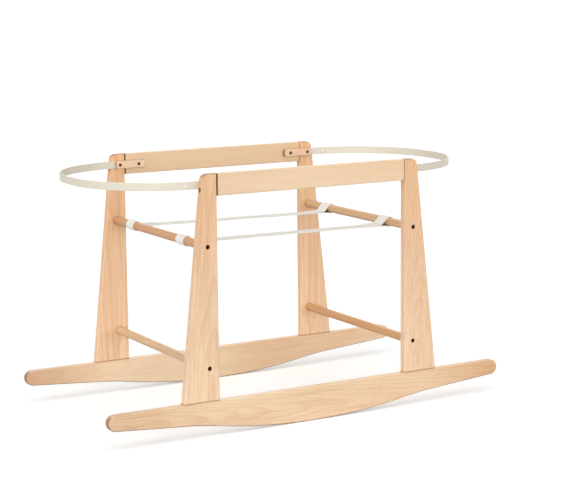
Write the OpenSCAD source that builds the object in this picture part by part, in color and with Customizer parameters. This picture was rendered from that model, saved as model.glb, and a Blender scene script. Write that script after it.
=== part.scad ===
// Rocking stand for a moses basket.
// Two bolted side frames on curved rockers, four round cross bars,
// two webbing straps that slide along the upper bars, and a plastic hoop
// clamped to the rails under small wooden battens.
// Frame: +X along the rockers, +Y from the front frame to the rear frame, +Z up.
// The origin is on the floor, under the middle of the stand.

/* [Stand] */
// Length of a rocker from tip to tip
stand_len = 878; // [840:2:940]
// Height from the floor to the top of the rails
stand_h = 500; // [450:5:560]
// Depth over the outer faces of the two side frames
stand_depth = 427; // [390:1:470]
// Thickness of the boards in the side frames
board_t = 16; // [14:0.5:20]
// Radius of the eased edges on the boards
edge_r = 2.5; // [1.5:0.25:3]

/* [Rockers] */
// Height of a rocker at its middle
rocker_h = 68; // [62:1:76]
// Radius of the running curve under a rocker
rocker_curve_r = 1250; // [1100:10:1500]
// Radius that blends the running curve into the arms
arm_blend_r = 600; // [400:10:800]
// Slope of the underside of an arm in degrees
arm_slope = 4.4; // [3.8:0.1:5]
// Radius of the rounded tip of an arm
tip_r = 15.2; // [13.5:0.1:17]

/* [Legs] */
// Clear width between the two legs of a frame
leg_gap = 418; // [390:2:440]
// Width of a leg where it stands on the rocker
leg_foot_w = 75.5; // [66:0.5:84]
// Width of a leg at its top, before the corner is rounded
leg_top_w = 28.5; // [26:0.5:34]
// Radius of the rounded outer corner at the top of a leg
leg_corner_r = 13; // [8:0.5:14]

/* [Rails] */
// Height of a top rail
rail_h = 42; // [38:1:50]
// Depth of the rail bolt's axis below the top of the rail
rail_bolt_drop = 30; // [28:0.5:32]
// Depth of the rail's locating pin below the top of the rail
rail_pin_drop = 12; // [10:0.5:13]

/* [Cross bars] */
// Diameter of a cross bar
bar_d = 17; // [15:0.5:20]
// Distance of a bar's axis from the inner edge of the leg
bar_inset = 20.5; // [18:0.5:23]
// Depth of the upper bars' axis below the top of the rails
upper_bar_drop = 136.5; // [110:0.5:160]
// Height of the lower bars' axis above the top of the rockers
lower_bar_lift = 64; // [50:1:90]

/* [Hoop] */
// Depth of the band's middle below the top of the rails
hoop_drop = 21.5; // [20.5:0.25:22.5]
// Height of the band
band_h = 15; // [13:0.5:16]
// Thickness of the band
band_t = 2.5; // [2:0.25:3]
// Straight length of band past the outer end of a batten
bend_start = 0.5; // [0.5:0.5:10]
// Width of the flat end of the hoop, between its two bends
hoop_end_w = 32; // [5:1:60]

/* [Battens] */
// Height of a batten
batten_h = 15; // [13:0.5:16]
// Thickness of a batten
batten_t = 6; // [5:0.5:8]
// Distance between the two screws of a batten
screw_pitch = 42; // [38:1:46]
// Distance of the leg's screw from the inner edge of the leg
leg_screw_inset = 14; // [12:0.5:15]
// Length of batten past the leg's screw
batten_outer_end = 8; // [6:0.5:10]
// Length of batten past the rail's screw
batten_inner_end = 14; // [10:0.5:18]
// Radius of the rounded corners at a batten's inner end
batten_corner_r = 5; // [2:0.5:6]

/* [Straps] */
// Width of a strap
strap_w = 32; // [25:1:40]
// Thickness of the webbing
strap_t = 1.6; // [1.2:0.1:2.2]
// Play between a strap's loop and its bar
strap_play = 0.3; // [0.2:0.05:0.5]
// Distance from a bar's axis to the inside of the loop's sewn end
loop_reach = 20; // [17:0.5:30]
// Depth of the strap's top below the bars' axis
strap_drop = 4.5; // [3:0.25:6]
// Length of the sewn tail past the loop
tail_len = 30; // [20:1:45]
// Place of the front strap's middle along the bars
front_strap_y = -112.5; // [-140:0.5:-70]
// Place of the rear strap's middle along the bars
rear_strap_y = 114.5; // [60:0.5:140]

/* [Fasteners] */
// Diameter of a bolt's shank
bolt_d = 5; // [4:0.5:6]
// Diameter of a bolt's head
bolt_head_d = 8.5; // [8:0.1:9]
// Height of a bolt's head
bolt_head_h = 5; // [4:0.25:5.5]
// Depth of a bolt's head below the face of the wood
bolt_sink = 2.5; // [1.5:0.25:3.5]
// Width across the flats of a bolt's hexagon socket
socket_w = 4; // [3:0.25:4.5]
// Diameter of a threaded insert
insert_d = 8; // [7.5:0.25:9]
// Length of a threaded insert
insert_len = 13; // [10:0.5:16]
// Diameter of a locating pin
pin_d = 8; // [6:0.5:8]
// Length of a pin between leg and rocker
leg_pin_len = 40; // [30:1:44]
// Distance between the two pins under a leg
leg_pin_pitch = 37; // [30:1:40]
// Length of a pin between leg and rail
rail_pin_len = 30; // [24:1:32]
// Diameter of a batten screw's shank
screw_d = 3.5; // [3:0.1:3.6]
// Diameter of a batten screw's head
screw_head_d = 6.5; // [6:0.1:7.5]
// Height of a batten screw's head
screw_head_h = 2; // [1.5:0.1:2.6]
// Depth of a batten screw in the wood of the frame
screw_bite = 12; // [9:0.5:13]
// Radial play of a shank, pin or insert in its own hole
fit_play = 0.05; // [0.02:0.01:0.1]
// Play around a bolt's head and shank in the leg
bolt_play = 0.25; // [0.2:0.05:0.4]
// Play around a batten screw in the batten and the band
screw_play = 0.25; // [0.1:0.05:0.3]

/* [Hidden] */

$fn = 96;
// Facets of the long running curves
curve_fn = 720;
// Overlap of a cut past the face that it opens
cut_past = 1;
// Hair by which a rounded tip or corner, and a blend, cross the lines that they are tangent to
round_step = 0.01;
blend_step = 0.05;
// Overlap of neighbouring easing cuts
ease_lap = 0.2;
// Size of the easing circle against the edge radius: above 1 it crosses the faces, and each
// cut goes a hair deeper than the cut that laps into it
line_bite = 1.03;
blend_bite = 1.02;
round_bite = 1.01;

// Colours
beech = [0.92, 0.77, 0.60];
beech_bar = [0.84, 0.66, 0.45];
cream = [0.90, 0.87, 0.80];
webbing = [0.94, 0.92, 0.87];
dark_steel = [0.16, 0.13, 0.11];
zinc_steel = [0.62, 0.60, 0.55];

// Places of the frames and of the boards in them
frame_y = (stand_depth - board_t) / 2;
inner_y = stand_depth / 2 - board_t;
leg_x = leg_gap / 2;
leg_h = stand_h - rocker_h;
leg_lean = atan((leg_foot_w - leg_top_w) / leg_h);
bar_x = leg_x + bar_inset;
bar_len = 2 * inner_y;
bar_r = bar_d / 2;
upper_bar_z = stand_h - upper_bar_drop;
lower_bar_z = rocker_h + lower_bar_lift;
rail_bolt_z = stand_h - rail_bolt_drop;
rail_pin_z = stand_h - rail_pin_drop;
hoop_z = stand_h - hoop_drop;
leg_screw_x = leg_x + leg_screw_inset;
rail_screw_x = leg_screw_x - screw_pitch;
batten_x0 = rail_screw_x - batten_inner_end;
batten_x1 = leg_screw_x + batten_outer_end;
bend_x = batten_x1 + bend_start;
band_x0 = rail_screw_x - band_h / 2;

// Holes in the boards
shank_hole_d = bolt_d + 2 * bolt_play;
head_hole_d = bolt_head_d + 2 * bolt_play;
head_hole_depth = bolt_sink + bolt_head_h;
pin_hole_d = pin_d + 2 * fit_play;
insert_hole_d = insert_d + 2 * fit_play;
screw_hole_d = screw_d + 2 * fit_play;
screw_pass_d = screw_d + 2 * screw_play;
rail_bolt_seat = leg_width_at(rail_bolt_z) - head_hole_depth;
bar_bolt_len = board_t - head_hole_depth + insert_len;
rail_bolt_len = rail_bolt_seat + insert_len;
screw_len = batten_t + band_t + screw_bite;
leg_pin_x = leg_x + leg_foot_w / 2;
// Depth left free past the end of an insert or pin
hole_spare = 1;
// Chamfer of a bolt's head, and depth of its socket
head_chamfer = 0.5;
socket_depth = bolt_head_h / 2;
// Straight rim below a batten screw's domed head, and its cross slot
screw_rim = 0.6;
slot_w = 0.9;
slot_depth = 1;

// Outline of a rocker's underside: running curve, blend and straight arm
tip_c = [stand_len / 2 - tip_r, rocker_h - tip_r];
arm_dir = [cos(arm_slope), sin(arm_slope)];
arm_out = [sin(arm_slope), -cos(arm_slope)];
curve_c = [0, rocker_curve_r];
arm_tip_p = tip_c + arm_out * tip_r;
blend_from = arm_tip_p + arm_out * arm_blend_r - curve_c;
blend_half = blend_from * arm_dir;
blend_reach = rocker_curve_r + arm_blend_r;
blend_run = sqrt(blend_half * blend_half - blend_from * blend_from + blend_reach * blend_reach)
            - blend_half;
blend_c = curve_c + blend_from + arm_dir * blend_run;
blend_arm_p = blend_c - arm_out * arm_blend_r;
blend_curve_p = curve_c + (blend_c - curve_c) * rocker_curve_r / blend_reach;
curve_half_angle = asin(blend_curve_p[0] / rocker_curve_r);

// Rounded outer corner at the top of a leg
corner_cx = leg_x + (leg_foot_w * cos(leg_lean) - leg_corner_r
                     - (leg_h - leg_corner_r) * sin(leg_lean)) / cos(leg_lean);
corner_c = [corner_cx, stand_h - leg_corner_r];
corner_p = corner_c + leg_corner_r * [cos(leg_lean), sin(leg_lean)];

// Radius of the hoop's bends, and the angle round a bend to the spare hole
bend_r = inner_y - hoop_end_w / 2;
band_mid_y = inner_y - band_t / 2;
spare_angle = (leg_screw_x + screw_pitch - bend_x) / (bend_r - band_t / 2) * 180 / PI;

// Inside and outside radius of a strap's loop, and how far inside these the straight plies run
loop_step = 0.04;
loop_in_r = bar_r + strap_play;
loop_out_r = loop_in_r + strap_t;
// Half angle of the loop's point, the turn that brings the point down to the strap, and its place
loop_point = asin(loop_in_r / loop_reach);
loop_turn = asin(strap_drop / loop_reach);
loop_end_x = bar_x - loop_reach * cos(loop_turn);
// Run of the flat plies into the loop
ply_lap = 1;

// Width of a leg at height z, from its inner edge to its leaning outer edge
function leg_width_at(z) = leg_top_w + (stand_h - z) * tan(leg_lean);

// Stands a flat outline up in the XZ plane, with its thickness about y = 0
module upright(thick) {
  rotate([90, 0, 0]) linear_extrude(thick, center = true) children();
}

// Section of the wood that easing takes off an edge: the corner is at the origin
// and the wood lies towards -x and +y
module edge_waste(bite) {
  difference() {
    translate([-edge_r, -cut_past]) square(edge_r + cut_past);
    translate([-edge_r, edge_r]) circle(edge_r * bite);
  }
}

// Eases both edges of an upright board along a straight side.
// The side starts at p and runs for len; the wood lies on its left hand.
module ease_line(p, angle, len) {
  for (face = [0, 1]) mirror([0, face, 0])
    translate([p[0], board_t / 2, p[1]]) rotate([0, -angle, 0]) rotate([90, 0, 90])
      linear_extrude(len) edge_waste(line_bite);
}

// Eases both edges of an upright board along a round side, from angle a0 for a sweep.
// The wood lies inside the circle, or outside it where hollow is true.
module ease_arc(c, r, a0, sweep, bite = round_bite, hollow = false) {
  for (face = [0, 1]) mirror([0, face, 0])
    translate([c[0], board_t / 2, c[1]]) rotate([90, 0, 0]) rotate(a0)
      rotate_extrude(angle = sweep, $fn = r > stand_depth ? curve_fn : $fn)
        translate([r, 0]) mirror([hollow ? 1 : 0, 0]) edge_waste(bite);
}

// Puts its children, made for the front right corner, at one of the four corners
module at_corner(side, face) {
  mirror([side < 0 ? 1 : 0, 0, 0]) mirror([0, face > 0 ? 1 : 0, 0]) children();
}

// Repeats its children, made for the front right corner, at all four corners
module at_all_corners() {
  for (side = [-1, 1], face = [-1, 1]) at_corner(side, face) children();
}

// Outline of a rocker: running curve, arms with round tips, and the blends between them
module rocker_outline() {
  inner_x = blend_curve_p[0];
  inner_p = [inner_x, arm_tip_p[1] - (arm_tip_p[0] - inner_x) * tan(arm_slope)];
  intersection() {
    translate(curve_c) circle(rocker_curve_r, $fn = curve_fn);
    translate([-tip_c[0], 0]) square([2 * tip_c[0], rocker_h]);
  }
  for (side = [0, 1]) mirror([side, 0]) {
    polygon([[inner_x, rocker_h], inner_p, arm_tip_p, [tip_c[0], rocker_h]]);
    translate(tip_c) circle(tip_r + round_step);
    difference() {
      polygon([[inner_x, rocker_h / 2], blend_curve_p, blend_arm_p, [blend_arm_p[0], rocker_h / 2]]);
      translate(blend_c) circle(arm_blend_r + blend_step, $fn = curve_fn);
    }
  }
}

// Eased edges of a rocker: top, running curve, tips, arms and blends
module rocker_easing() {
  arm_len = norm(arm_tip_p - blend_arm_p);
  blend_lap = ease_lap / arm_blend_r * 180 / PI;
  ease_line([tip_c[0] + ease_lap, rocker_h], 180, 2 * (tip_c[0] + ease_lap));
  ease_arc(curve_c, rocker_curve_r, -90 - curve_half_angle, 2 * curve_half_angle);
  for (side = [0, 1]) mirror([side, 0, 0]) {
    ease_arc(tip_c, tip_r, arm_slope - 90, 180 - arm_slope);
    ease_line(blend_arm_p - ease_lap * arm_dir, arm_slope, arm_len + 2 * ease_lap);
    ease_arc(blend_c, arm_blend_r, 90 + arm_slope, curve_half_angle - arm_slope + blend_lap, blend_bite,
             hollow = true);
  }
}

// Rocker about y = 0, with its lowest line on the floor
module rocker(face) {
  color(beech) translate([0, face * frame_y, 0]) difference() {
    upright(board_t) rocker_outline();
    rocker_easing();
    for (side = [0, 1], k = [-1, 1]) mirror([side, 0, 0])
      translate([leg_pin_x + k * leg_pin_pitch / 2, 0, rocker_h - leg_pin_len / 2 - hole_spare])
        cylinder(d = pin_hole_d, h = leg_pin_len);
  }
}

// Outline of the front right leg: upright inner edge, leaning outer edge, round top corner
module leg_outline() {
  intersection() {
    polygon([[leg_x, rocker_h], [leg_x + leg_foot_w, rocker_h],
             [leg_x + leg_top_w, stand_h], [leg_x, stand_h]]);
    union() {
      polygon([[leg_x, rocker_h], [leg_x + leg_foot_w, rocker_h],
               corner_p, [corner_c[0], stand_h], [leg_x, stand_h]]);
      translate(corner_c) circle(leg_corner_r + round_step);
    }
  }
}

// Eased edges of the front right leg
module leg_easing() {
  outer_len = norm(corner_p - [leg_x + leg_foot_w, rocker_h]);
  ease_line([leg_x, stand_h + cut_past], -90, leg_h + 2 * cut_past);
  ease_line([corner_c[0] + ease_lap, stand_h], 180, corner_c[0] + ease_lap - leg_x + cut_past);
  ease_line([leg_x + leg_foot_w, rocker_h], 90 + leg_lean, outer_len + ease_lap);
  ease_arc(corner_c, leg_corner_r, leg_lean, 90 - leg_lean);
}

// Holes of the front right leg; its inner face looks towards +y
module leg_holes() {
  // Cross-bar bolts, with their heads sunk from the outer face
  for (z = [upper_bar_z, lower_bar_z]) translate([bar_x, 0, z]) rotate([90, 0, 0]) {
    cylinder(d = shank_hole_d, h = board_t + 2 * cut_past, center = true);
    translate([0, 0, board_t / 2 - head_hole_depth])
      cylinder(d = head_hole_d, h = head_hole_depth + cut_past);
  }
  // Rail bolt, with its head sunk from the leaning outer edge
  translate([leg_x, 0, rail_bolt_z]) rotate([0, 90, 0]) {
    translate([0, 0, -cut_past]) cylinder(d = shank_hole_d, h = rail_bolt_seat + 2 * cut_past);
    translate([0, 0, rail_bolt_seat]) cylinder(d = head_hole_d, h = leg_foot_w);
  }
  // Locating pins to the rail and to the rocker
  translate([leg_x - cut_past, 0, rail_pin_z]) rotate([0, 90, 0])
    cylinder(d = pin_hole_d, h = rail_pin_len / 2 + hole_spare + cut_past);
  for (k = [-1, 1]) translate([leg_pin_x + k * leg_pin_pitch / 2, 0, rocker_h - cut_past])
    cylinder(d = pin_hole_d, h = leg_pin_len / 2 + hole_spare + cut_past);
  // Batten screw
  translate([leg_screw_x, board_t / 2 - screw_bite, hoop_z]) rotate([-90, 0, 0])
    cylinder(d = screw_hole_d, h = screw_bite + cut_past);
}

module leg(side, face) {
  color(beech) at_corner(side, face) translate([0, -frame_y, 0]) difference() {
    upright(board_t) leg_outline();
    leg_easing();
    leg_holes();
  }
}

// Top rail of a frame, butted between the legs
module top_rail(face) {
  rail_z = stand_h - rail_h;
  color(beech) at_corner(1, face) translate([0, -frame_y, 0]) difference() {
    translate([-leg_x, -board_t / 2, rail_z]) cube([leg_gap, board_t, rail_h]);
    ease_line([-leg_x - cut_past, rail_z], 0, leg_gap + 2 * cut_past);
    ease_line([leg_x + cut_past, stand_h], 180, leg_gap + 2 * cut_past);
    for (side = [0, 1]) mirror([side, 0, 0]) {
      ease_line([leg_x, rail_z - cut_past], 90, rail_h + 2 * cut_past);
      translate([leg_x - insert_len - hole_spare, 0, rail_bolt_z]) rotate([0, 90, 0])
        cylinder(d = insert_hole_d, h = insert_len + hole_spare + cut_past);
      translate([leg_x - rail_pin_len / 2 - hole_spare, 0, rail_pin_z]) rotate([0, 90, 0])
        cylinder(d = pin_hole_d, h = rail_pin_len / 2 + hole_spare + cut_past);
      translate([rail_screw_x, board_t / 2 - screw_bite, hoop_z]) rotate([-90, 0, 0])
        cylinder(d = screw_hole_d, h = screw_bite + cut_past);
    }
  }
}

// Round bar across the two frames, with a socket for an insert in each end
module cross_bar(side, z) {
  color(beech_bar) translate([side * bar_x, 0, z]) rotate([90, 0, 0]) difference() {
    cylinder(d = bar_d, h = bar_len, center = true);
    for (end = [0, 1]) mirror([0, 0, end])
      translate([0, 0, inner_y - insert_len - hole_spare])
        cylinder(d = insert_hole_d, h = insert_len + hole_spare + cut_past);
  }
}

// Bent plastic band round one end of the stand
module hoop_band(side) {
  color(cream) mirror([side < 0 ? 1 : 0, 0, 0]) translate([0, 0, hoop_z - band_h / 2]) difference() {
    union() {
      for (face = [0, 1]) mirror([0, face, 0]) {
        translate([band_x0, -inner_y, 0]) cube([bend_x - band_x0, band_t, band_h]);
        translate([bend_x, bend_r - inner_y, 0]) rotate(-90) rotate_extrude(angle = 90, $fn = curve_fn)
          translate([bend_r - band_t, 0]) square([band_t, band_h]);
      }
      translate([bend_x + bend_r - band_t, -hoop_end_w / 2, 0]) cube([band_t, hoop_end_w, band_h]);
    }
    for (face = [0, 1]) mirror([0, face, 0]) {
      for (x = [rail_screw_x, leg_screw_x]) translate([x, -band_mid_y, band_h / 2]) band_hole();
      translate([bend_x, bend_r - inner_y, band_h / 2]) rotate(spare_angle)
        translate([0, band_t / 2 - bend_r, 0]) band_hole();
    }
  }
}

module band_hole() {
  rotate([90, 0, 0]) cylinder(d = screw_pass_d, h = band_t + 2 * cut_past, center = true);
}

// Batten that clamps the band to a leg and its rail; its inner end has round corners
module batten(side, face) {
  round_x = batten_x0 + batten_corner_r;
  half_h = batten_h / 2;
  mid_y = inner_y - band_t - batten_t / 2;
  color(beech) at_corner(side, face) translate([0, -mid_y, hoop_z]) difference() {
    upright(batten_t) {
      translate([round_x, -half_h]) square([batten_x1 - round_x, batten_h]);
      translate([batten_x0, batten_corner_r - half_h])
        square([batten_corner_r, batten_h - 2 * batten_corner_r]);
      for (k = [-1, 1]) translate([round_x, k * (half_h - batten_corner_r)]) circle(batten_corner_r);
    }
    for (x = [rail_screw_x, leg_screw_x]) translate([x, 0, 0]) rotate([90, 0, 0])
      cylinder(d = screw_pass_d, h = batten_t + 2 * cut_past, center = true);
  }
}

// Teardrop round a bar on the y axis: its point looks towards -x and is turned down to the strap
module teardrop(r, width) {
  side_r = r - loop_step;
  side_p = side_r * [-sin(loop_point), cos(loop_point)];
  rotate([0, -loop_turn, 0]) {
    upright(width) circle(r);
    upright(width) polygon([[0, 0], [side_p[0], -side_p[1]], [-side_r / sin(loop_point), 0], side_p]);
  }
}

// Webbing strap: a through ply below, and at each end a loop round the bar with a sewn tail
module strap(y) {
  end_x = loop_end_x + ply_lap;
  color(webbing) translate([0, y, upper_bar_z]) difference() {
    translate([0, 0, -strap_drop - strap_t]) {
      translate([-end_x, -strap_w / 2, 0]) cube([2 * end_x, strap_w, strap_t]);
      for (side = [0, 1]) mirror([side, 0, 0]) {
        translate([loop_end_x - tail_len, -strap_w / 2, 0]) cube([tail_len + ply_lap, strap_w, 2 * strap_t]);
        translate([bar_x, 0, strap_drop + strap_t]) teardrop(loop_out_r, strap_w);
      }
    }
    for (side = [0, 1]) mirror([side, 0, 0]) translate([bar_x, 0, 0])
      teardrop(loop_in_r, strap_w + 2 * cut_past);
  }
}

// Bolt with a round head and a hexagon socket: the head sits on z = 0 and looks along +z
module bolt(len) {
  head_r = bolt_head_d / 2;
  color(dark_steel) difference() {
    union() {
      translate([0, 0, -len]) cylinder(d = bolt_d, h = len);
      rotate_extrude() polygon([[0, 0], [head_r, 0], [head_r, bolt_head_h - head_chamfer],
                                [head_r - head_chamfer, bolt_head_h], [0, bolt_head_h]]);
    }
    translate([0, 0, bolt_head_h - socket_depth])
      cylinder(d = socket_w / cos(30), h = socket_depth + cut_past, $fn = 6);
  }
}

module bar_bolts(z) {
  at_all_corners() translate([bar_x, head_hole_depth - stand_depth / 2, z])
    rotate([90, 0, 0]) bolt(bar_bolt_len);
}

module rail_bolts() {
  at_all_corners() translate([leg_x + rail_bolt_seat, -frame_y, rail_bolt_z])
    rotate([0, 90, 0]) bolt(rail_bolt_len);
}

// Threaded insert, from z = 0 inwards along +z
module insert() {
  color(zinc_steel) difference() {
    cylinder(d = insert_d, h = insert_len);
    translate([0, 0, -cut_past]) cylinder(d = bolt_d + 2 * fit_play, h = insert_len + 2 * cut_past);
  }
}

module bar_inserts(z) {
  at_all_corners() translate([bar_x, -inner_y, z]) rotate([-90, 0, 0]) insert();
}

module rail_inserts() {
  at_all_corners() translate([leg_x, -frame_y, rail_bolt_z]) rotate([0, -90, 0]) insert();
}

// Wooden pins between the legs and the rockers
module leg_pins() {
  color(beech_bar) at_all_corners() for (k = [-1, 1])
    translate([leg_pin_x + k * leg_pin_pitch / 2, -frame_y, rocker_h])
      cylinder(d = pin_d, h = leg_pin_len, center = true);
}

// Wooden pins between the legs and the rails
module rail_pins() {
  color(beech_bar) at_all_corners() translate([leg_x, -frame_y, rail_pin_z]) rotate([0, 90, 0])
    cylinder(d = pin_d, h = rail_pin_len, center = true);
}

// Wood screw with a domed head and a cross slot: the head sits on z = 0 and looks along +z
module batten_screw() {
  head_r = screw_head_d / 2;
  rise = screw_head_h - screw_rim;
  dome_r = (head_r * head_r + rise * rise) / (2 * rise);
  color(dark_steel) difference() {
    union() {
      rotate_extrude() intersection() {
        translate([0, screw_head_h - dome_r]) circle(dome_r);
        square([head_r, screw_head_h]);
      }
      translate([0, 0, screw_d - screw_len]) cylinder(d = screw_d, h = screw_len - screw_d);
      translate([0, 0, -screw_len]) cylinder(d1 = 0, d2 = screw_d, h = screw_d);
    }
    for (turn = [0, 90]) rotate(turn) translate([0, 0, screw_head_h])
      cube([screw_head_d / 2, slot_w, 2 * slot_depth], center = true);
  }
}

module batten_screws(face) {
  for (side = [-1, 1], x = [rail_screw_x, leg_screw_x]) at_corner(side, face)
    translate([x, band_t + batten_t - inner_y, hoop_z]) rotate([-90, 0, 0]) batten_screw();
}

rocker(-1);  // front_rocker
rocker(1);  // rear_rocker
leg(-1, -1);  // front_left_leg
leg(1, -1);  // front_right_leg
leg(-1, 1);  // rear_left_leg
leg(1, 1);  // rear_right_leg
top_rail(-1);  // front_top_rail
top_rail(1);  // rear_top_rail
cross_bar(-1, upper_bar_z);  // upper_left_bar
cross_bar(1, upper_bar_z);  // upper_right_bar
cross_bar(-1, lower_bar_z);  // lower_left_bar
cross_bar(1, lower_bar_z);  // lower_right_bar
hoop_band(-1);  // left_hoop_band
hoop_band(1);  // right_hoop_band
batten(-1, -1);  // front_left_batten
batten(1, -1);  // front_right_batten
batten(-1, 1);  // rear_left_batten
batten(1, 1);  // rear_right_batten
strap(front_strap_y);  // front_strap
strap(rear_strap_y);  // rear_strap
bar_bolts(upper_bar_z);  // upper_bar_bolts
bar_bolts(lower_bar_z);  // lower_bar_bolts
rail_bolts();
bar_inserts(upper_bar_z);  // upper_bar_inserts
bar_inserts(lower_bar_z);  // lower_bar_inserts
rail_inserts();
leg_pins();
rail_pins();
batten_screws(-1);  // front_batten_screws
batten_screws(1);  // rear_batten_screws
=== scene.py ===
"""Dressed scene of a rocking stand for a moses basket.

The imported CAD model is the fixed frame. Its boards, bars and hidden fittings keep their CAD
shapes and get wood and metal finishes. The hoop bands, battens, bolts, screws and webbing
straps are made here with the detail that the CAD solids leave out. All sizes are in metres.
"""

import logging
import math
from dataclasses import dataclass, field
from enum import Enum
from typing import Any, Callable, Iterator, Sequence

import bmesh
import bpy
from mathutils import Matrix, Vector


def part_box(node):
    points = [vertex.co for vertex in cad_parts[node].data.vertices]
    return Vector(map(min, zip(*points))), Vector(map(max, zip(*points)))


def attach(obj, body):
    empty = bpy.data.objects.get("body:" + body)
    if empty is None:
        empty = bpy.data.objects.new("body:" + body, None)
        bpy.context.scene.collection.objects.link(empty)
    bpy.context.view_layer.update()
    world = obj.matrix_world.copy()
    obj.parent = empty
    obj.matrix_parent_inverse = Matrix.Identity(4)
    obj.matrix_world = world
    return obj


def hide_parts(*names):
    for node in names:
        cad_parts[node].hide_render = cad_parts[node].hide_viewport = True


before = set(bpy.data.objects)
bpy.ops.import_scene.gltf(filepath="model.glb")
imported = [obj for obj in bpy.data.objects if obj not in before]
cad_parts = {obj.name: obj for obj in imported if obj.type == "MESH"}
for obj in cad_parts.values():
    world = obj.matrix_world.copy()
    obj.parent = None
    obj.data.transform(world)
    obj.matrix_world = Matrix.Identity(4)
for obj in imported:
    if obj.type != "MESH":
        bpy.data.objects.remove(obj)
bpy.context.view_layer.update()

LOG = logging.getLogger("stand")
MM = 0.001
UP = Vector((0, 0, 1))
BOLT_HEAD_D = 8.5 * MM
# Axis that the bolts of a node run along.
BOLT_AXES = {"upper_bar_bolts": 1, "lower_bar_bolts": 1, "rail_bolts": 0}

Colour = tuple[float, float, float]
Point = tuple[float, float, float]
Pair = tuple[float, float]
# What a node's input can take: a plain value, a socket or a Number.
Input = Any
# Radius and height of a ring at an angle.
Ring = Callable[[float], Pair]


def rgb(red: int, green: int, blue: int) -> Colour:
    """Linear colour of a screen colour.

    Args:
        red: Red, from 0 to 255.
        green: Green, the same.
        blue: Blue, the same.

    Returns:
        The linear colour.
    """
    def linear(step: int) -> float:
        """Linear value of one 8-bit channel."""
        part = step / 255
        return part / 12.92 if part <= 0.04045 else ((part + 0.055) / 1.055) ** 2.4
    return linear(red), linear(green), linear(blue)


# ---------------------------------------------------------------- named options

class Half(Enum):
    """One of two opposite halves of the stand; its value is its sign along the axis."""

    @property
    def word(self) -> str:
        """Word for it in a node's name."""
        return self.name.lower()


class Side(Half):
    """End of the stand that a piece is on."""

    LEFT = -1
    RIGHT = 1


class Face(Half):
    """Side frame that a piece belongs to."""

    FRONT = -1
    REAR = 1


class Grain(Enum):
    """Direction of the wood fibres in a piece."""

    ALONG = (1.0, 0.0, 0.0)
    ACROSS = (0.0, 1.0, 0.0)
    UPRIGHT = (0.0, 0.0, 1.0)


class Body(Enum):
    """CAD bodies that the pieces ride on."""

    STAND = "stand"
    FRONT_STRAP = "front_strap"
    REAR_STRAP = "rear_strap"


class Slot(Enum):
    """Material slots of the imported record."""

    BOARD = "board_wood"
    BAR = "bar_wood"
    PIN = "pin_wood"
    HOOP = "hoop_plastic"
    WEBBING = "webbing"
    STEEL = "dark_steel"
    ZINC = "zinc_steel"


# ---------------------------------------------------------------- node trees

class NodeKit:
    """One node tree, and the one method that adds any node to it."""

    def __init__(self, tree: bpy.types.NodeTree) -> None:
        """Keeps the tree that nodes are added to."""
        self.tree = tree

    def add(self, kind: str, settings: dict[str, Any] | None = None,
            inputs: dict[str | int, Input] | None = None) -> bpy.types.Node:
        """Adds a node.

        Args:
            kind: Blender's type name of the node.
            settings: Properties of the node, set first; "stops" holds a ramp's stops.
            inputs: Values, sockets or numbers for its inputs, by name or index.

        Returns:
            The new node.
        """
        node = self.tree.nodes.new(kind)
        for key, value in (settings or {}).items():
            if key == "stops":
                self._set_stops(node.color_ramp, value)
            else:
                setattr(node, key, value)
        for key, value in (inputs or {}).items():
            socket = value.socket if isinstance(value, Number) else value
            if isinstance(socket, bpy.types.NodeSocket):
                self.tree.links.new(socket, node.inputs[key])
            elif isinstance(socket, tuple) and node.inputs[key].type == "RGBA":
                node.inputs[key].default_value = (*socket[:3], 1.0)
            else:
                node.inputs[key].default_value = socket
        return node

    @staticmethod
    def _set_stops(ramp: bpy.types.ColorRamp, stops: Sequence[Pair]) -> None:
        """Sets a ramp's stops.

        Args:
            ramp: The ramp.
            stops: Its stops, each a place and a grey level.
        """
        while len(ramp.elements) < len(stops):
            ramp.elements.new(0.5)
        for element, (place, level) in zip(ramp.elements, sorted(stops)):
            element.position = place
            element.color = (level, level, level, 1.0)


class Number:
    """A number in a shader: its operators add Math nodes to the tree."""

    def __init__(self, kit: NodeKit, socket: bpy.types.NodeSocket) -> None:
        """Wraps the socket that gives the number."""
        self.kit = kit
        self.socket = socket

    def math(self, operation: str, *others: Input) -> "Number":
        """Result of a Math node, by its operation's name, on this number and others."""
        return self._node(operation, self, *others)

    def _node(self, operation: str, *terms: Input) -> "Number":
        """Adds a Math node on the given terms, in their order."""
        node = self.kit.add("ShaderNodeMath", {"operation": operation}, dict(enumerate(terms)))
        return Number(self.kit, node.outputs[0])

    def __add__(self, other: Input) -> "Number":
        """Sum."""
        return self._node("ADD", self, other)

    __radd__ = __add__

    def __mul__(self, other: Input) -> "Number":
        """Product."""
        return self._node("MULTIPLY", self, other)

    __rmul__ = __mul__

    def __sub__(self, other: Input) -> "Number":
        """Difference."""
        return self._node("SUBTRACT", self, other)

    def __rsub__(self, other: Input) -> "Number":
        """Difference from a plain number."""
        return self._node("SUBTRACT", other, self)

    def __truediv__(self, other: Input) -> "Number":
        """Quotient."""
        return self._node("DIVIDE", self, other)

    def __pow__(self, other: Input) -> "Number":
        """Power."""
        return self._node("POWER", self, other)

    def __abs__(self) -> "Number":
        """Size without its sign."""
        return self._node("ABSOLUTE", self)

    def ramp(self, *stops: Pair) -> "Number":
        """Level at this number on a ramp of stops, each a place from 0 to 1 and its level."""
        node = self.kit.add("ShaderNodeValToRGB", {"stops": stops}, {0: self})
        return Number(self.kit, node.outputs[0])


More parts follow.
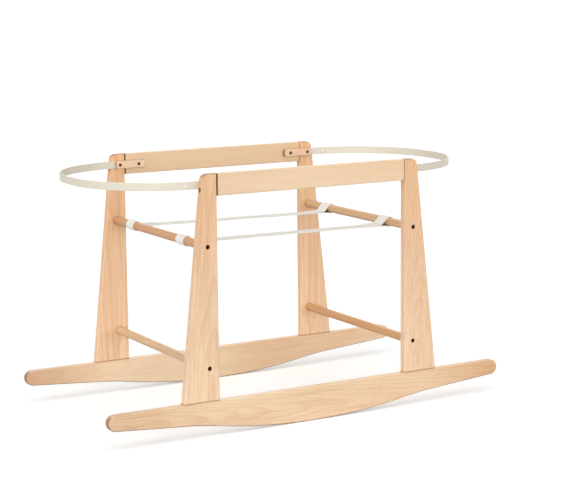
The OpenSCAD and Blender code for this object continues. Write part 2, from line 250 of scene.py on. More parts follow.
class Shader(NodeKit):
    """Node tree of one material."""

    def __init__(self, name: str) -> None:
        """Makes an empty material.

        Args:
            name: Name of the material.
        """
        self.material = bpy.data.materials.new(name)
        self.material.use_nodes = True
        super().__init__(self.material.node_tree)
        self.tree.nodes.clear()

    def number(self, kind: str, inputs: dict[str | int, Input], out: str | int = 0,
               **settings: Any) -> Number:
        """Adds a node and wraps one of its outputs."""
        return Number(self, self.add(kind, settings, inputs).outputs[out])

    def coordinate(self, out: str) -> bpy.types.NodeSocket:
        """One of the texture coordinates, by its output's name."""
        return self.add("ShaderNodeTexCoord").outputs[out]

    def split(self, vector: bpy.types.NodeSocket) -> tuple[Number, Number, Number]:
        """The three parts of a vector."""
        node = self.add("ShaderNodeSeparateXYZ", None, {0: vector})
        return tuple(Number(self, out) for out in node.outputs)

    def noise(self, point: bpy.types.NodeSocket, stretch: Point, detail: float = 2.0,
              rough: float = 0.5) -> Number:
        """Smooth noise on a stretched point.

        Args:
            point: Where the noise is read.
            stretch: Waves per metre along each axis of the point.
            detail: Number of finer layers.
            rough: Strength of the finer layers.

        Returns:
            The noise, about 0.5 on average.
        """
        scaled = self.add("ShaderNodeVectorMath", {"operation": "MULTIPLY"},
                          {0: point, 1: stretch}).outputs[0]
        return self.number("ShaderNodeTexNoise",
                           {"Vector": scaled, "Scale": 1.0, "Detail": detail, "Roughness": rough})

    def mix(self, share: Input, first: Input, second: Input,
            blend: str = "MIX") -> bpy.types.NodeSocket:
        """Mixes two colours.

        Args:
            share: Share of the second colour.
            first: Colour at a share of 0.
            second: Colour at a share of 1.
            blend: Blender's name of the way they are mixed.

        Returns:
            The mixed colour.
        """
        settings = {"data_type": "RGBA", "clamp_factor": True, "blend_type": blend}
        node = self.add("ShaderNodeMix", settings, {0: share, 6: first, 7: second})
        return node.outputs[2]

    def bump(self, height: Number, depth: float, strength: float = 1.0) -> bpy.types.NodeSocket:
        """Normal of a surface that is raised by a height from 0 to 1, of a depth in metres."""
        return self.add("ShaderNodeBump", None, {
            "Strength": strength, "Distance": depth, "Height": height}).outputs[0]

    def surface(self, **inputs: Input) -> bpy.types.Material:
        """Ends the tree in a Principled surface.

        Args:
            inputs: Its sockets, with _ for a space in a socket's name.

        Returns:
            The finished material.
        """
        named = {key.replace("_", " "): value for key, value in inputs.items()}
        shade = self.add("ShaderNodeBsdfPrincipled", None, named)
        self.add("ShaderNodeOutputMaterial", None, {"Surface": shade.outputs[0]})
        return self.material


class Recipe(NodeKit):
    """Geometry Nodes tree with named inputs, whose result becomes a plain mesh."""

    def __init__(self, name: str) -> None:
        """Makes a tree that takes and gives one geometry.

        Args:
            name: Name of the tree.
        """
        super().__init__(bpy.data.node_groups.new(name, "GeometryNodeTree"))
        for way in ("INPUT", "OUTPUT"):
            self.tree.interface.new_socket(
                "Geometry", in_out=way, socket_type="NodeSocketGeometry")
        self.start = self.add("NodeGroupInput")
        self.keys: dict[str, str] = {}

    @property
    def source(self) -> bpy.types.NodeSocket:
        """Geometry that the tree starts from."""
        return self.start.outputs[0]

    def size(self, name: str, kind: str = "NodeSocketFloat") -> bpy.types.NodeSocket:
        """Adds a named input.

        Args:
            name: Name of the input.
            kind: Blender's type name of its socket.

        Returns:
            The socket that gives its value inside the tree.
        """
        item = self.tree.interface.new_socket(name, in_out="INPUT", socket_type=kind)
        self.keys[name] = item.identifier
        return self.start.outputs[name]

    def out(self, kind: str, settings: dict[str, Any] | None,
            inputs: dict[str | int, Input], socket: str | int = 0) -> bpy.types.NodeSocket:
        """Adds a node and gives one of its outputs."""
        return self.add(kind, settings, inputs).outputs[socket]

    def shape(self, name: str) -> bpy.types.NodeSocket:
        """Adds a named input for an object, and gives that object's geometry."""
        return self.out("GeometryNodeObjectInfo", None, {
            "Object": self.size(name, "NodeSocketObject")}, "Geometry")

    def on_points(self, points: bpy.types.NodeSocket, part: bpy.types.NodeSocket,
                  axis: str = "Z", aim: bpy.types.NodeSocket | None = None
                  ) -> bpy.types.NodeSocket:
        """Puts a part on each point.

        Args:
            points: The points.
            part: The part, as it is at the origin.
            axis: Axis of the part that is turned to a point's aim.
            aim: The aims, or None to read the points' own attribute "aim".

        Returns:
            The instances of the part.
        """
        if aim is None:
            aim = self.out("GeometryNodeInputNamedAttribute", {"data_type": "FLOAT_VECTOR"},
                           {"Name": "aim"})
        turn = self.out("FunctionNodeAlignRotationToVector", {"axis": axis}, {"Vector": aim})
        return self.out("GeometryNodeInstanceOnPoints", None, {
            "Points": points, "Instance": part, "Rotation": turn})

    def smooth(self, geometry: bpy.types.NodeSocket) -> bpy.types.NodeSocket:
        """Shades all faces of a geometry smooth."""
        return self.out("GeometryNodeSetShadeSmooth", {"domain": "FACE"}, {
            "Geometry": geometry, "Shade Smooth": True})

    def end(self, geometry: bpy.types.NodeSocket) -> None:
        """Ends the tree: instances made real, with the material of the named input.

        Args:
            geometry: What the tree has made.
        """
        real = self.out("GeometryNodeRealizeInstances", None, {"Geometry": geometry})
        dressed = self.out("GeometryNodeSetMaterial", None, {
            "Geometry": real, "Material": self.size("Material", "NodeSocketMaterial")})
        self.add("NodeGroupOutput", None, {0: dressed})

    def make(self, name: str, source: bpy.types.Mesh, **values: Any) -> bpy.types.Object:
        """Runs the tree once and keeps its result as a plain mesh.

        Args:
            name: Name of the new piece.
            source: Mesh that the tree starts from.
            values: Values of the named inputs, with _ for a space in a name.

        Returns:
            The new piece, with no modifier on it.
        """
        holder = Workshop.piece(name + "_source", source)
        modifier = holder.modifiers.new("recipe", "NODES")
        modifier.node_group = self.tree
        for key, value in values.items():
            modifier[self.keys[key.replace("_", " ")]] = value
        graph = bpy.context.evaluated_depsgraph_get()
        mesh = bpy.data.meshes.new_from_object(holder.evaluated_get(graph), depsgraph=graph)
        holder.modifiers.remove(modifier)
        bpy.data.objects.remove(holder)
        mesh.name = name
        return Workshop.piece(name, mesh)


# ---------------------------------------------------------------- mesh tools

class Workshop:
    """Small tools that make and place meshes."""

    @staticmethod
    def piece(name: str, mesh: bpy.types.Mesh) -> bpy.types.Object:
        """Puts a mesh in the scene as a piece at the origin.

        Args:
            name: Name of the piece.
            mesh: Its mesh.

        Returns:
            The piece.
        """
        made = bpy.data.objects.new(name, mesh)
        bpy.context.scene.collection.objects.link(made)
        return made

    @staticmethod
    def points(name: str, places: Sequence[Vector], aims: Sequence[Vector]) -> bpy.types.Mesh:
        """Loose points, each with the direction that it aims in.

        Args:
            name: Name of the mesh.
            places: Where the points are.
            aims: Their directions, kept in the attribute "aim".

        Returns:
            The mesh.
        """
        mesh = bpy.data.meshes.new(name)
        mesh.from_pydata([tuple(p) for p in places], [], [])
        aim = mesh.attributes.new("aim", "FLOAT_VECTOR", "POINT")
        for slot, direction in zip(aim.data, aims):
            slot.vector = direction
        return mesh

    @staticmethod
    def lines(name: str, paths: Sequence[Sequence[Vector]]) -> bpy.types.Mesh:
        """Open lines of edges.

        Args:
            name: Name of the mesh.
            paths: The points of each line, in order.

        Returns:
            The mesh.
        """
        mesh = bpy.data.meshes.new(name)
        places: list[tuple[float, ...]] = []
        edges: list[tuple[int, int]] = []
        for path in paths:
            first = len(places)
            places += [tuple(p) for p in path]
            edges += [(first + k, first + k + 1) for k in range(len(path) - 1)]
        mesh.from_pydata(places, edges, [])
        return mesh

    @staticmethod
    def close(mesh: bpy.types.Mesh, form: bmesh.types.BMesh, sharp: float) -> bpy.types.Mesh:
        """Writes a closed form to a mesh, outside out, smooth up to an angle.

        Args:
            mesh: Mesh to write.
            form: The form, which is freed.
            sharp: Angle in degrees from which an edge stays sharp.

        Returns:
            The same mesh.
        """
        bmesh.ops.recalc_face_normals(form, faces=form.faces)
        form.to_mesh(mesh)
        form.free()
        mesh.shade_smooth()
        mesh.set_sharp_from_angle(angle=math.radians(sharp))
        return mesh

    @staticmethod
    def bridge(form: bmesh.types.BMesh, low: Sequence[bmesh.types.BMVert],
               high: Sequence[bmesh.types.BMVert]) -> None:
        """Joins two closed rings of points by a wall.

        Args:
            form: The form that the points are in.
            low: One ring.
            high: The other ring, with as many points.
        """
        count = len(low)
        for k in range(count):
            after = (k + 1) % count
            form.faces.new((low[k], low[after], high[after], high[k]))

    @staticmethod
    def turned(name: str, angles: Sequence[float], rings: Sequence[Ring]) -> bpy.types.Mesh:
        """A form turned about the z axis, whose rings needn't be round.

        Args:
            name: Name of the mesh.
            angles: Angles round the axis, in order.
            rings: For each ring, its radius and height at an angle, from the foot of the
                form over its outside to the middle of its top.

        Returns:
            The closed mesh.
        """
        form = bmesh.new()
        loops = []
        for ring in rings:
            spots = [(angle, *ring(angle)) for angle in angles]
            loops.append([form.verts.new((r * math.cos(a), r * math.sin(a), z))
                          for a, r, z in spots])
        for low, high in zip(loops, loops[1:]):
            Workshop.bridge(form, low, high)
        form.faces.new(loops[0])
        form.faces.new(loops[-1])
        return Workshop.close(bpy.data.meshes.new(name), form, sharp=35)


def even(radius: float, height: float) -> Ring:
    """A round ring of a turned form."""
    return lambda angle: (radius, height)


def arc(centre: Pair, radius: float, start: float, sweep: float,
        steps: int) -> list[Pair]:
    """Points on an arc.

    Args:
        centre: Centre of the arc.
        radius: Its radius.
        start: Angle of its first point, in degrees.
        sweep: Angle that it turns through, in degrees.
        steps: Number of steps.

    Returns:
        The points, with both ends.
    """
    turns = (math.radians(start + sweep * k / steps) for k in range(steps + 1))
    return [(centre[0] + radius * math.cos(t), centre[1] + radius * math.sin(t)) for t in turns]


# ---------------------------------------------------------------- finishes

# Colours of painted shade: SHADE in the seams, the counterbores, round the battens and on
# downward faces; FOOT_SHADE where a leg stands on its rocker.
SHADE = rgb(78, 44, 26)
FOOT_SHADE = rgb(186, 134, 92)


@dataclass(frozen=True)
class Fade:
    """A change of colour along a board, used for the board's tone and for painted light.

    Attributes:
        start: Place along the fibres where it starts.
        end: Place where it is full; it stays full beyond.
        tint: Colour there, against the rest of the board.
    """

    start: float
    end: float
    tint: Colour


@dataclass(frozen=True)
class Joint:
    """Painted shade: the dark line on a piece in the seam where it meets another.

    Attributes:
        axis: Axis across the line.
        place: Place of the joint on that axis.
        depth: How dark the painted shade is.
        colour: Colour of the painted shade.
        reach: How far it reaches from the joint.
    """

    axis: int
    place: float
    depth: float
    colour: Colour = SHADE
    reach: float = 3.2 * MM

    def dark(self, kit: Shader, place: bpy.types.NodeSocket) -> Number:
        """How dark it is: full at the joint, falling to 0 across the line."""
        near = abs(kit.split(place)[self.axis] - self.place) / self.reach
        return near.ramp((0.45, self.depth), (1.0, 0.0))


@dataclass(frozen=True)
class BoardCut:
    """How one piece was cut from its log.

    Attributes:
        node: CAD node or piece that it is.
        grain: Direction of its fibres.
        pith: Point on the log's middle line, in the frame.
        lean: Lean of that line against the piece, in degrees: within its face, and into it.
        tint: The piece's own colour against the finish's; on the rear rocker it also holds
            painted light.
        joints: Painted shade in the seams where it meets other pieces.
        fades: Its changes of colour along the fibres, of its tone and of painted light.
        figure: Strength of its rings and fibres.
        sole: Depth of the painted shade on its downward-facing edges and faces.
    """

    node: str
    grain: Grain
    pith: Point
    lean: Pair = (0.0, 0.0)
    tint: Colour = (1.0, 1.0, 1.0)
    joints: tuple[Joint, ...] = ()
    fades: tuple[Fade, ...] = ()
    figure: float = 1.0
    sole: float = 0.0

    @property
    def axis(self) -> int:
        """Axis that the fibres run along."""
        return [round(x) for x in self.grain.value].index(1)

    def turn(self) -> Point:
        """Rotation that lays the log's x axis along the fibres.

        Returns:
            Its angles about x, y and z.
        """
        base = Vector((1, 0, 0)).rotation_difference(Vector(self.grain.value)).to_matrix()
        tilt = Matrix.Rotation(math.radians(self.lean[0]), 3, "Y")
        swing = Matrix.Rotation(math.radians(self.lean[1]), 3, "Z")
        return tuple((base @ swing @ tilt).to_euler("XYZ"))


@dataclass(frozen=True)
class Bore:
    """A hole that a bolt's head is sunk in, with painted shade on its wall.

    Attributes:
        axis: Axis that it runs along.
        place: A point on its middle line.
        radius: Its radius.
        depth: How dark the painted shade on its wall is.
        colour: Colour of the painted shade on its wall.
    """

    axis: int
    place: Point
    radius: float
    depth: float = 0.75
    colour: Colour = SHADE

    def dark(self, kit: Shader, place: bpy.types.NodeSocket) -> Number:
        """How dark it is: even within the hole and 0 outside."""
        x, z = (kit.split(place)[k] - self.place[k] for k in range(3) if k != self.axis)
        return ((x * x + z * z) ** 0.5 / self.radius).ramp((0.98, self.depth), (1.1, 0.0))


@dataclass(frozen=True)
class Contact:
    """Painted shadow: the dark line round a piece that is screwed to a frame's inner face, where
    it shades that face.

    Attributes:
        low: Lower corner of the piece's box.
        high: Upper corner.
        width: Width of the line.
        lift: Gap between the piece and the face.
        depth: How dark the painted shadow is.
        colour: Colour of the painted shadow.
    """

    low: Vector
    high: Vector
    width: float = 2.0 * MM
    lift: float = 2.6 * MM
    depth: float = 0.36
    colour: Colour = SHADE

    def dark(self, kit: Shader, place: bpy.types.NodeSocket) -> Number:
        """How dark it is: darkest at the piece's outline, falling to 0 across the line.

        Args:
            kit: Tree that the nodes are added to.
            place: Point on the board.

        Returns:
            The share of the line's colour.
        """
        parts = kit.split(place)
        middle, half = (self.low + self.high) / 2, (self.high - self.low) / 2
        gaps = [abs(parts[k] - middle[k]) - half[k] for k in (0, 2)]
        inner = abs(parts[1] - middle[1]) - (half[1] + self.lift)
        line = gaps[0].math("MAXIMUM", gaps[1]).math("MAXIMUM", inner)
        return (line / self.width).ramp((0.2, self.depth), (1.0, 0.0))


# Painted shade that neighbouring pieces and fittings put on a board.
ShadeMark = Joint | Bore | Contact


@dataclass(frozen=True)
class WoodFinish:
    """Pale hardwood under a satin lacquer, with rings, fibres and ray flecks.

    Attributes:
        slot: Material slot of the record.
        pale: Colour of the early wood.
        late: Colour of the line that ends a ring.
        warm: Colour of the warmer streaks.
        fleck: Colour of the short ray flecks.
        end: Colour of the end grain.
        ring_gap: Width of a ring.
        sway: How far a ring wanders.
        rough: Roughness of the lacquer.
        cloud_share: Strength of the warmer streaks.
        line_share: Strength of the rings' lines.
        strand_share: Strength of the strands.
        fleck_share: Strength of the ray flecks.
        relief: Depth of the open pores.
    """

    slot: Slot
    pale: Colour
    late: Colour
    warm: Colour
    fleck: Colour
    end: Colour
    ring_gap: float = 3.6 * MM
    sway: float = 17 * MM
    rough: float = 0.46
    cloud_share: float = 0.8
    line_share: float = 0.38
    strand_share: float = 0.5
    fleck_share: float = 0.4
    relief: float = 0.12 * MM

    def material(self, cut: BoardCut, marks: Sequence[ShadeMark] = ()) -> bpy.types.Material:
        """Makes the finish of one piece.

        Args:
            cut: How the piece was cut from its log.
            marks: Painted shade in the counterbores of its bolts and round its battens.

        Returns:
            The material.
        """
        kit = Shader(f"{self.slot.value}_{cut.node}")
        place = kit.coordinate("Object")
        wood = kit.add("ShaderNodeMapping", {"vector_type": "TEXTURE"}, {
            "Vector": place, "Location": cut.pith, "Rotation": cut.turn()}).outputs[0]
        _, across, deep = kit.split(wood)
        wander = kit.noise(wood, (1.7, 9.0, 9.0), 2.0)
        radius = (across * across + deep * deep) ** 0.5 + (wander - 0.5) * self.sway
        year = kit.noise(wood, (0.4, 30.0, 30.0), 1.0)
        ring = (radius / self.ring_gap + year * 1.6).math("FRACT")
        line = ring.ramp((0.0, 0.0), (0.12, 0.05), (0.62, 0.3), (0.9, 1.0), (1.0, 0.0))
        cloud = kit.noise(wood, (1.2, 13.0, 13.0), 2.0).ramp((0.36, 0.0), (0.66, 1.0))
        strand = kit.noise(wood, (1.8, 170.0, 170.0), 3.0, 0.6).ramp((0.46, 0.0), (0.7, 1.0))
        fibre = kit.noise(wood, (16.0, 950.0, 950.0), 3.0, 0.6)
        fleck = kit.noise(wood, (330.0, 1500.0, 1500.0), 1.0).ramp((0.62, 0.0), (0.7, 1.0))
        facing = self._end_share(kit, cut)

        pale, late, warm, spot, end = (
            tuple(part * tint for part, tint in zip(colour, cut.tint))
            for colour in (self.pale, self.late, self.warm, self.fleck, self.end))
        colour = kit.mix(cloud * self.cloud_share, pale, warm)
        for pattern, mean, share in (
                (line, 0.32, self.line_share), (strand, 0.22, self.strand_share),
                (fibre.ramp((0.42, 0.0), (0.75, 0.4)), 0.1, 1.0)):
            figured = (pattern - mean) * cut.figure + mean
            colour = kit.mix(figured * share, colour, late)
        colour = kit.mix(fleck * (1 - facing) * (self.fleck_share * cut.figure), colour, spot)
        colour = kit.mix(facing, colour, end)
        # Changes of colour along the fibres: the board's tone, and painted light on the legs and
        # the rear rocker.
        for fade in cut.fades:
            share = (kit.split(place)[cut.axis] - fade.start) / (fade.end - fade.start)
            colour = kit.mix(share, colour, fade.tint, "MULTIPLY")
        # Painted shade on downward-facing edges and faces.
        if cut.sole:
            below = kit.split(kit.coordinate("Normal"))[2] * -1
            colour = kit.mix(below.ramp((0.2, 0.0), (0.6, cut.sole)), colour, SHADE)
        # Painted shade in the seams, the counterbores and round the battens.
        for mark in (*cut.joints, *marks):
            colour = kit.mix(mark.dark(kit, place), colour, mark.colour)
        height = fibre * 0.7 + line * 0.2 + fleck * -0.25
        return kit.surface(
            Base_Color=colour, Roughness=(fibre - 0.5) * 0.22 + line * 0.04 + self.rough,
            Normal=kit.bump(height, self.relief, 0.5 * cut.figure), Coat_Weight=0.12,
            Coat_Roughness=0.3, Specular_IOR_Level=0.35)

    @staticmethod
    def _end_share(kit: Shader, cut: BoardCut) -> Number:
        """How far the surface looks along the fibres, where the end grain shows."""
        parts = kit.split(kit.coordinate("Normal"))
        return abs(parts[cut.axis]).ramp((0.3, 0.0), (0.85, 0.85))


@dataclass(frozen=True)
class PlasticFinish:
    """Matt extruded plastic.

    Attributes:
        slot: Material slot of the record.
        body: Its colour.
        dull: Colour of its faint clouds.
    """

    slot: Slot
    body: Colour
    dull: Colour

    def material(self) -> bpy.types.Material:
        """Makes the finish: faint clouds, drawn lines along the strip and fine pitting.

        Returns:
            The material.
        """
        kit = Shader(self.slot.value)
        place = kit.coordinate("Object")
        cloud = kit.noise(place, (9.0, 9.0, 30.0), 3.0)
        drawn = kit.noise(place, (4.0, 4.0, 1400.0), 2.0, 0.6)
        pit = kit.noise(place, (1600.0, 1600.0, 1600.0), 1.0)
        colour = kit.mix(cloud.ramp((0.35, 0.0), (0.7, 0.5)), self.body, self.dull)
        height = drawn * 0.6 + pit * 0.4
        return kit.surface(
            Base_Color=kit.mix(drawn * 0.16, colour, self.dull),
            Roughness=cloud * 0.14 + pit * 0.1 + 0.36,
            Normal=kit.bump(height, 0.06 * MM, 0.6), Specular_IOR_Level=0.4)


@dataclass(frozen=True)
class WebbingFinish:
    """Woven cotton webbing, on the strap's own UV map in metres.

    Attributes:
        slot: Material slot of the record.
        yarn: Colour of the yarn.
        hollow: Painted shade between the yarns, also the darker tone of slubs and of the thread's
            twist.
        thread: Colour of the sewing thread.
        rib: Width of a warp rib.
        pick: Length of a weft pick.
        width: Width of the webbing.
    """

    slot: Slot
    yarn: Colour
    hollow: Colour
    thread: Colour
    rib: float = 1.6 * MM
    pick: float = 1.3 * MM
    width: float = 32 * MM

    def material(self) -> bpy.types.Material:
        """Makes the weave: over and under in a chequer, a rib at each selvedge, fuzz, and painted
        shade between the yarns.

        Returns:
            The material.
        """
        kit = Shader(self.slot.value)
        cloth = kit.coordinate("UV")
        across, along, _ = kit.split(cloth)
        wave = (across * (math.pi / self.rib)).math("SINE")
        beat = (along * (math.pi / self.pick)).math("SINE")
        over = wave * beat * 0.5 + 0.5
        crown = (abs(wave) ** 0.6) * (abs(beat) ** 0.35)
        edge = abs(across / self.width - 0.5).ramp((0.43, 0.0), (0.46, 1.0))
        fuzz = kit.noise(cloth, (900.0, 900.0, 1.0), 3.0, 0.65)
        slub = kit.noise(cloth, (500.0, 14.0, 1.0), 2.0)
        height = crown * (over * 0.5 + 0.5) + edge * 0.35 + fuzz * 0.2
        # Painted shade in the hollows between the yarns, where the crowns are low.
        shade = (crown * 0.75 + fuzz * 0.35).ramp((0.05, 1.0), (0.6, 0.0))
        colour = kit.mix(shade * 0.75, self.yarn, self.hollow)
        colour = kit.mix(slub.ramp((0.5, 0.0), (0.75, 0.3)), colour, self.hollow)
        return kit.surface(
            Base_Color=colour, Roughness=fuzz * 0.12 + 0.8,
            Normal=kit.bump(height, 0.3 * MM, 0.8), Specular_IOR_Level=0.2,
            Sheen_Weight=0.15, Sheen_Roughness=0.5)

    def sewing(self) -> bpy.types.Material:
        """Makes the finish of the sewing thread: a fine twist on a matt cord.

        Returns:
            The material.
        """
        kit = Shader(self.slot.value + "_thread")
        place = kit.coordinate("Object")
        twist = kit.noise(place, (2600.0, 900.0, 2600.0), 1.0)
        return kit.surface(
            Base_Color=kit.mix(twist.ramp((0.3, 0.0), (0.7, 0.6)), self.thread, self.hollow),
            Roughness=twist * 0.15 + 0.6, Normal=kit.bump(twist, 0.1 * MM, 0.6))


@dataclass(frozen=True)
class SteelFinish:
    """Coated or plated steel.

    Attributes:
        slot: Material slot of the record.
        coat: Colour of the coating.
        bare: Colour where it is worn thin.
        metallic: How metallic the coating is.
        rough: Its roughness.
        gloss: How much it mirrors where it isn't metallic.
    """

    slot: Slot
    coat: Colour
    bare: Colour
    metallic: float
    rough: float
    gloss: float = 0.5

    def material(self) -> bpy.types.Material:
        """Makes the finish: blotches of wear and a fine grain.

        Returns:
            The material.
        """
        kit = Shader(self.slot.value)
        place = kit.coordinate("Object")
        worn = kit.noise(place, (420.0, 420.0, 420.0), 3.0, 0.6).ramp((0.5, 0.0), (0.72, 1.0))
        grit = kit.noise(place, (3200.0, 3200.0, 3200.0), 2.0)
        return kit.surface(
            Base_Color=kit.mix(worn * 0.55, self.coat, self.bare), Metallic=self.metallic,
            Roughness=worn * -0.12 + grit * 0.16 + self.rough,
            Normal=kit.bump(grit, 0.05 * MM, 0.5), Specular_IOR_Level=self.gloss)


BOARD_WOOD = WoodFinish(
    Slot.BOARD, pale=rgb(244, 217, 185), late=rgb(219, 174, 134), warm=rgb(237, 199, 163),
    fleck=rgb(186, 134, 92), end=rgb(160, 115, 80))
BAR_WOOD = WoodFinish(
    Slot.BAR, pale=rgb(230, 190, 146), late=rgb(194, 145, 98), warm=rgb(216, 170, 120),
    fleck=rgb(150, 100, 60), end=rgb(170, 120, 76), ring_gap=4 * MM, sway=12 * MM, rough=0.42)
PIN_WOOD = WoodFinish(
    Slot.PIN, pale=rgb(224, 190, 150), late=rgb(196, 152, 108), warm=rgb(214, 174, 130),
    fleck=rgb(170, 122, 82), end=rgb(180, 136, 96), ring_gap=3 * MM, sway=6 * MM, rough=0.6)
HOOP_PLASTIC = PlasticFinish(
    Slot.HOOP, body=rgb(226, 219, 202), dull=rgb(216, 206, 188))
WEBBING = WebbingFinish(
    Slot.WEBBING, yarn=rgb(253, 251, 245), hollow=rgb(226, 219, 204), thread=rgb(238, 231, 214))
DARK_STEEL = SteelFinish(
    Slot.STEEL, coat=rgb(58, 30, 18), bare=rgb(92, 56, 36), metallic=0.0, rough=0.6, gloss=0.1)
SCREW_STEEL = SteelFinish(
    Slot.STEEL, coat=rgb(88, 58, 40), bare=rgb(128, 94, 70), metallic=0.0, rough=0.55, gloss=0.2)
ZINC_STEEL = SteelFinish(
    Slot.ZINC, coat=rgb(206, 207, 205), bare=rgb(176, 172, 160), metallic=1.0, rough=0.32)


def dress_node(node: str, material: bpy.types.Material) -> None:
    """Gives a CAD node that keeps its shape its finish.

    Args:
        node: The node.
        material: Its finish.
    """
    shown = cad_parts[node]
    shown.data.materials.clear()
    shown.data.materials.append(material)
    LOG.info("dressed %s", node)


def settle(piece: bpy.types.Object, body: Body, slot: Slot, *nodes: str) -> None:
    """Puts a finished piece on its body, in place of CAD nodes.

    Args:
        piece: The piece.
        body: Body that it rides on.
        slot: Material slot of the record that its finish stands for; not used.
        nodes: CAD nodes that it replaces.
    """
    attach(piece, body.value)
    if nodes:
        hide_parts(*nodes)
    LOG.info("made %s", piece.name)


# ---------------------------------------------------------------- wooden frames

@dataclass
class SideFrame:
    """Rocker, two legs and top rail of one side, all kept from the CAD.

    Attributes:
        face: Which side frame it is.
        cuts: How each of its boards was cut.
        bore_d: Diameter of the hole that a bolt's head is sunk in.
    """

    face: Face
    cuts: Sequence[BoardCut]
    bore_d: float = 9 * MM

    def dress(self) -> None:
        """Gives each board its own piece of wood, with painted shade in the bolts' counterbores
        and round the battens.
        """
        marks = [*self._bores(), *(Contact(*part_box(f"{self.face.word}_{side.word}_batten"))
                                   for side in Side)]
        for cut in self.cuts:
            dress_node(f"{self.face.word}_{cut.node}", BOARD_WOOD.material(cut, marks))

    def _bores(self) -> Iterator[Bore]:
        """Painted shade in the counterbores of the bolts in both legs.

        Returns:
            The shaded counterbores, one by one.
        """
        for node, axis in BOLT_AXES.items():
            low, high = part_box(node)
            across, depth = high.x - BOLT_HEAD_D / 2, high.y - BOLT_HEAD_D / 2
            for side in Side:
                place = (side.value * across, self.face.value * depth, (low.z + high.z) / 2)
                yield Bore(axis, place, self.bore_d / 2)


@dataclass
class CrossBars:
    """Four round bars between the frames, kept from the CAD.

    Attributes:
        cuts: How each bar was cut.
    """

    cuts: Sequence[BoardCut]

    def dress(self) -> None:
        """Gives each bar its own piece of wood."""
        for cut in self.cuts:
            dress_node(cut.node, BAR_WOOD.material(cut))


@dataclass
class HiddenFittings:
    """Threaded inserts and locating pins inside the boards, kept from the CAD.

    Attributes:
        insert_nodes: Nodes of the inserts.
        pin_cuts: How the pins were cut.
    """

    insert_nodes: Sequence[str] = ("upper_bar_inserts", "lower_bar_inserts", "rail_inserts")
    pin_cuts: Sequence[BoardCut] = (
        BoardCut("leg_pins", Grain.UPRIGHT, (0.1, 0.05, 0.0)),
        BoardCut("rail_pins", Grain.ALONG, (0.0, 0.05, 0.4)),
    )

    def dress(self) -> None:
        """Gives the inserts plated steel and the pins plain wood."""
        zinc = ZINC_STEEL.material()
        for node in self.insert_nodes:
            dress_node(node, zinc)
        for cut in self.pin_cuts:
            dress_node(cut.node, PIN_WOOD.material(cut))


# ---------------------------------------------------------------- hoop

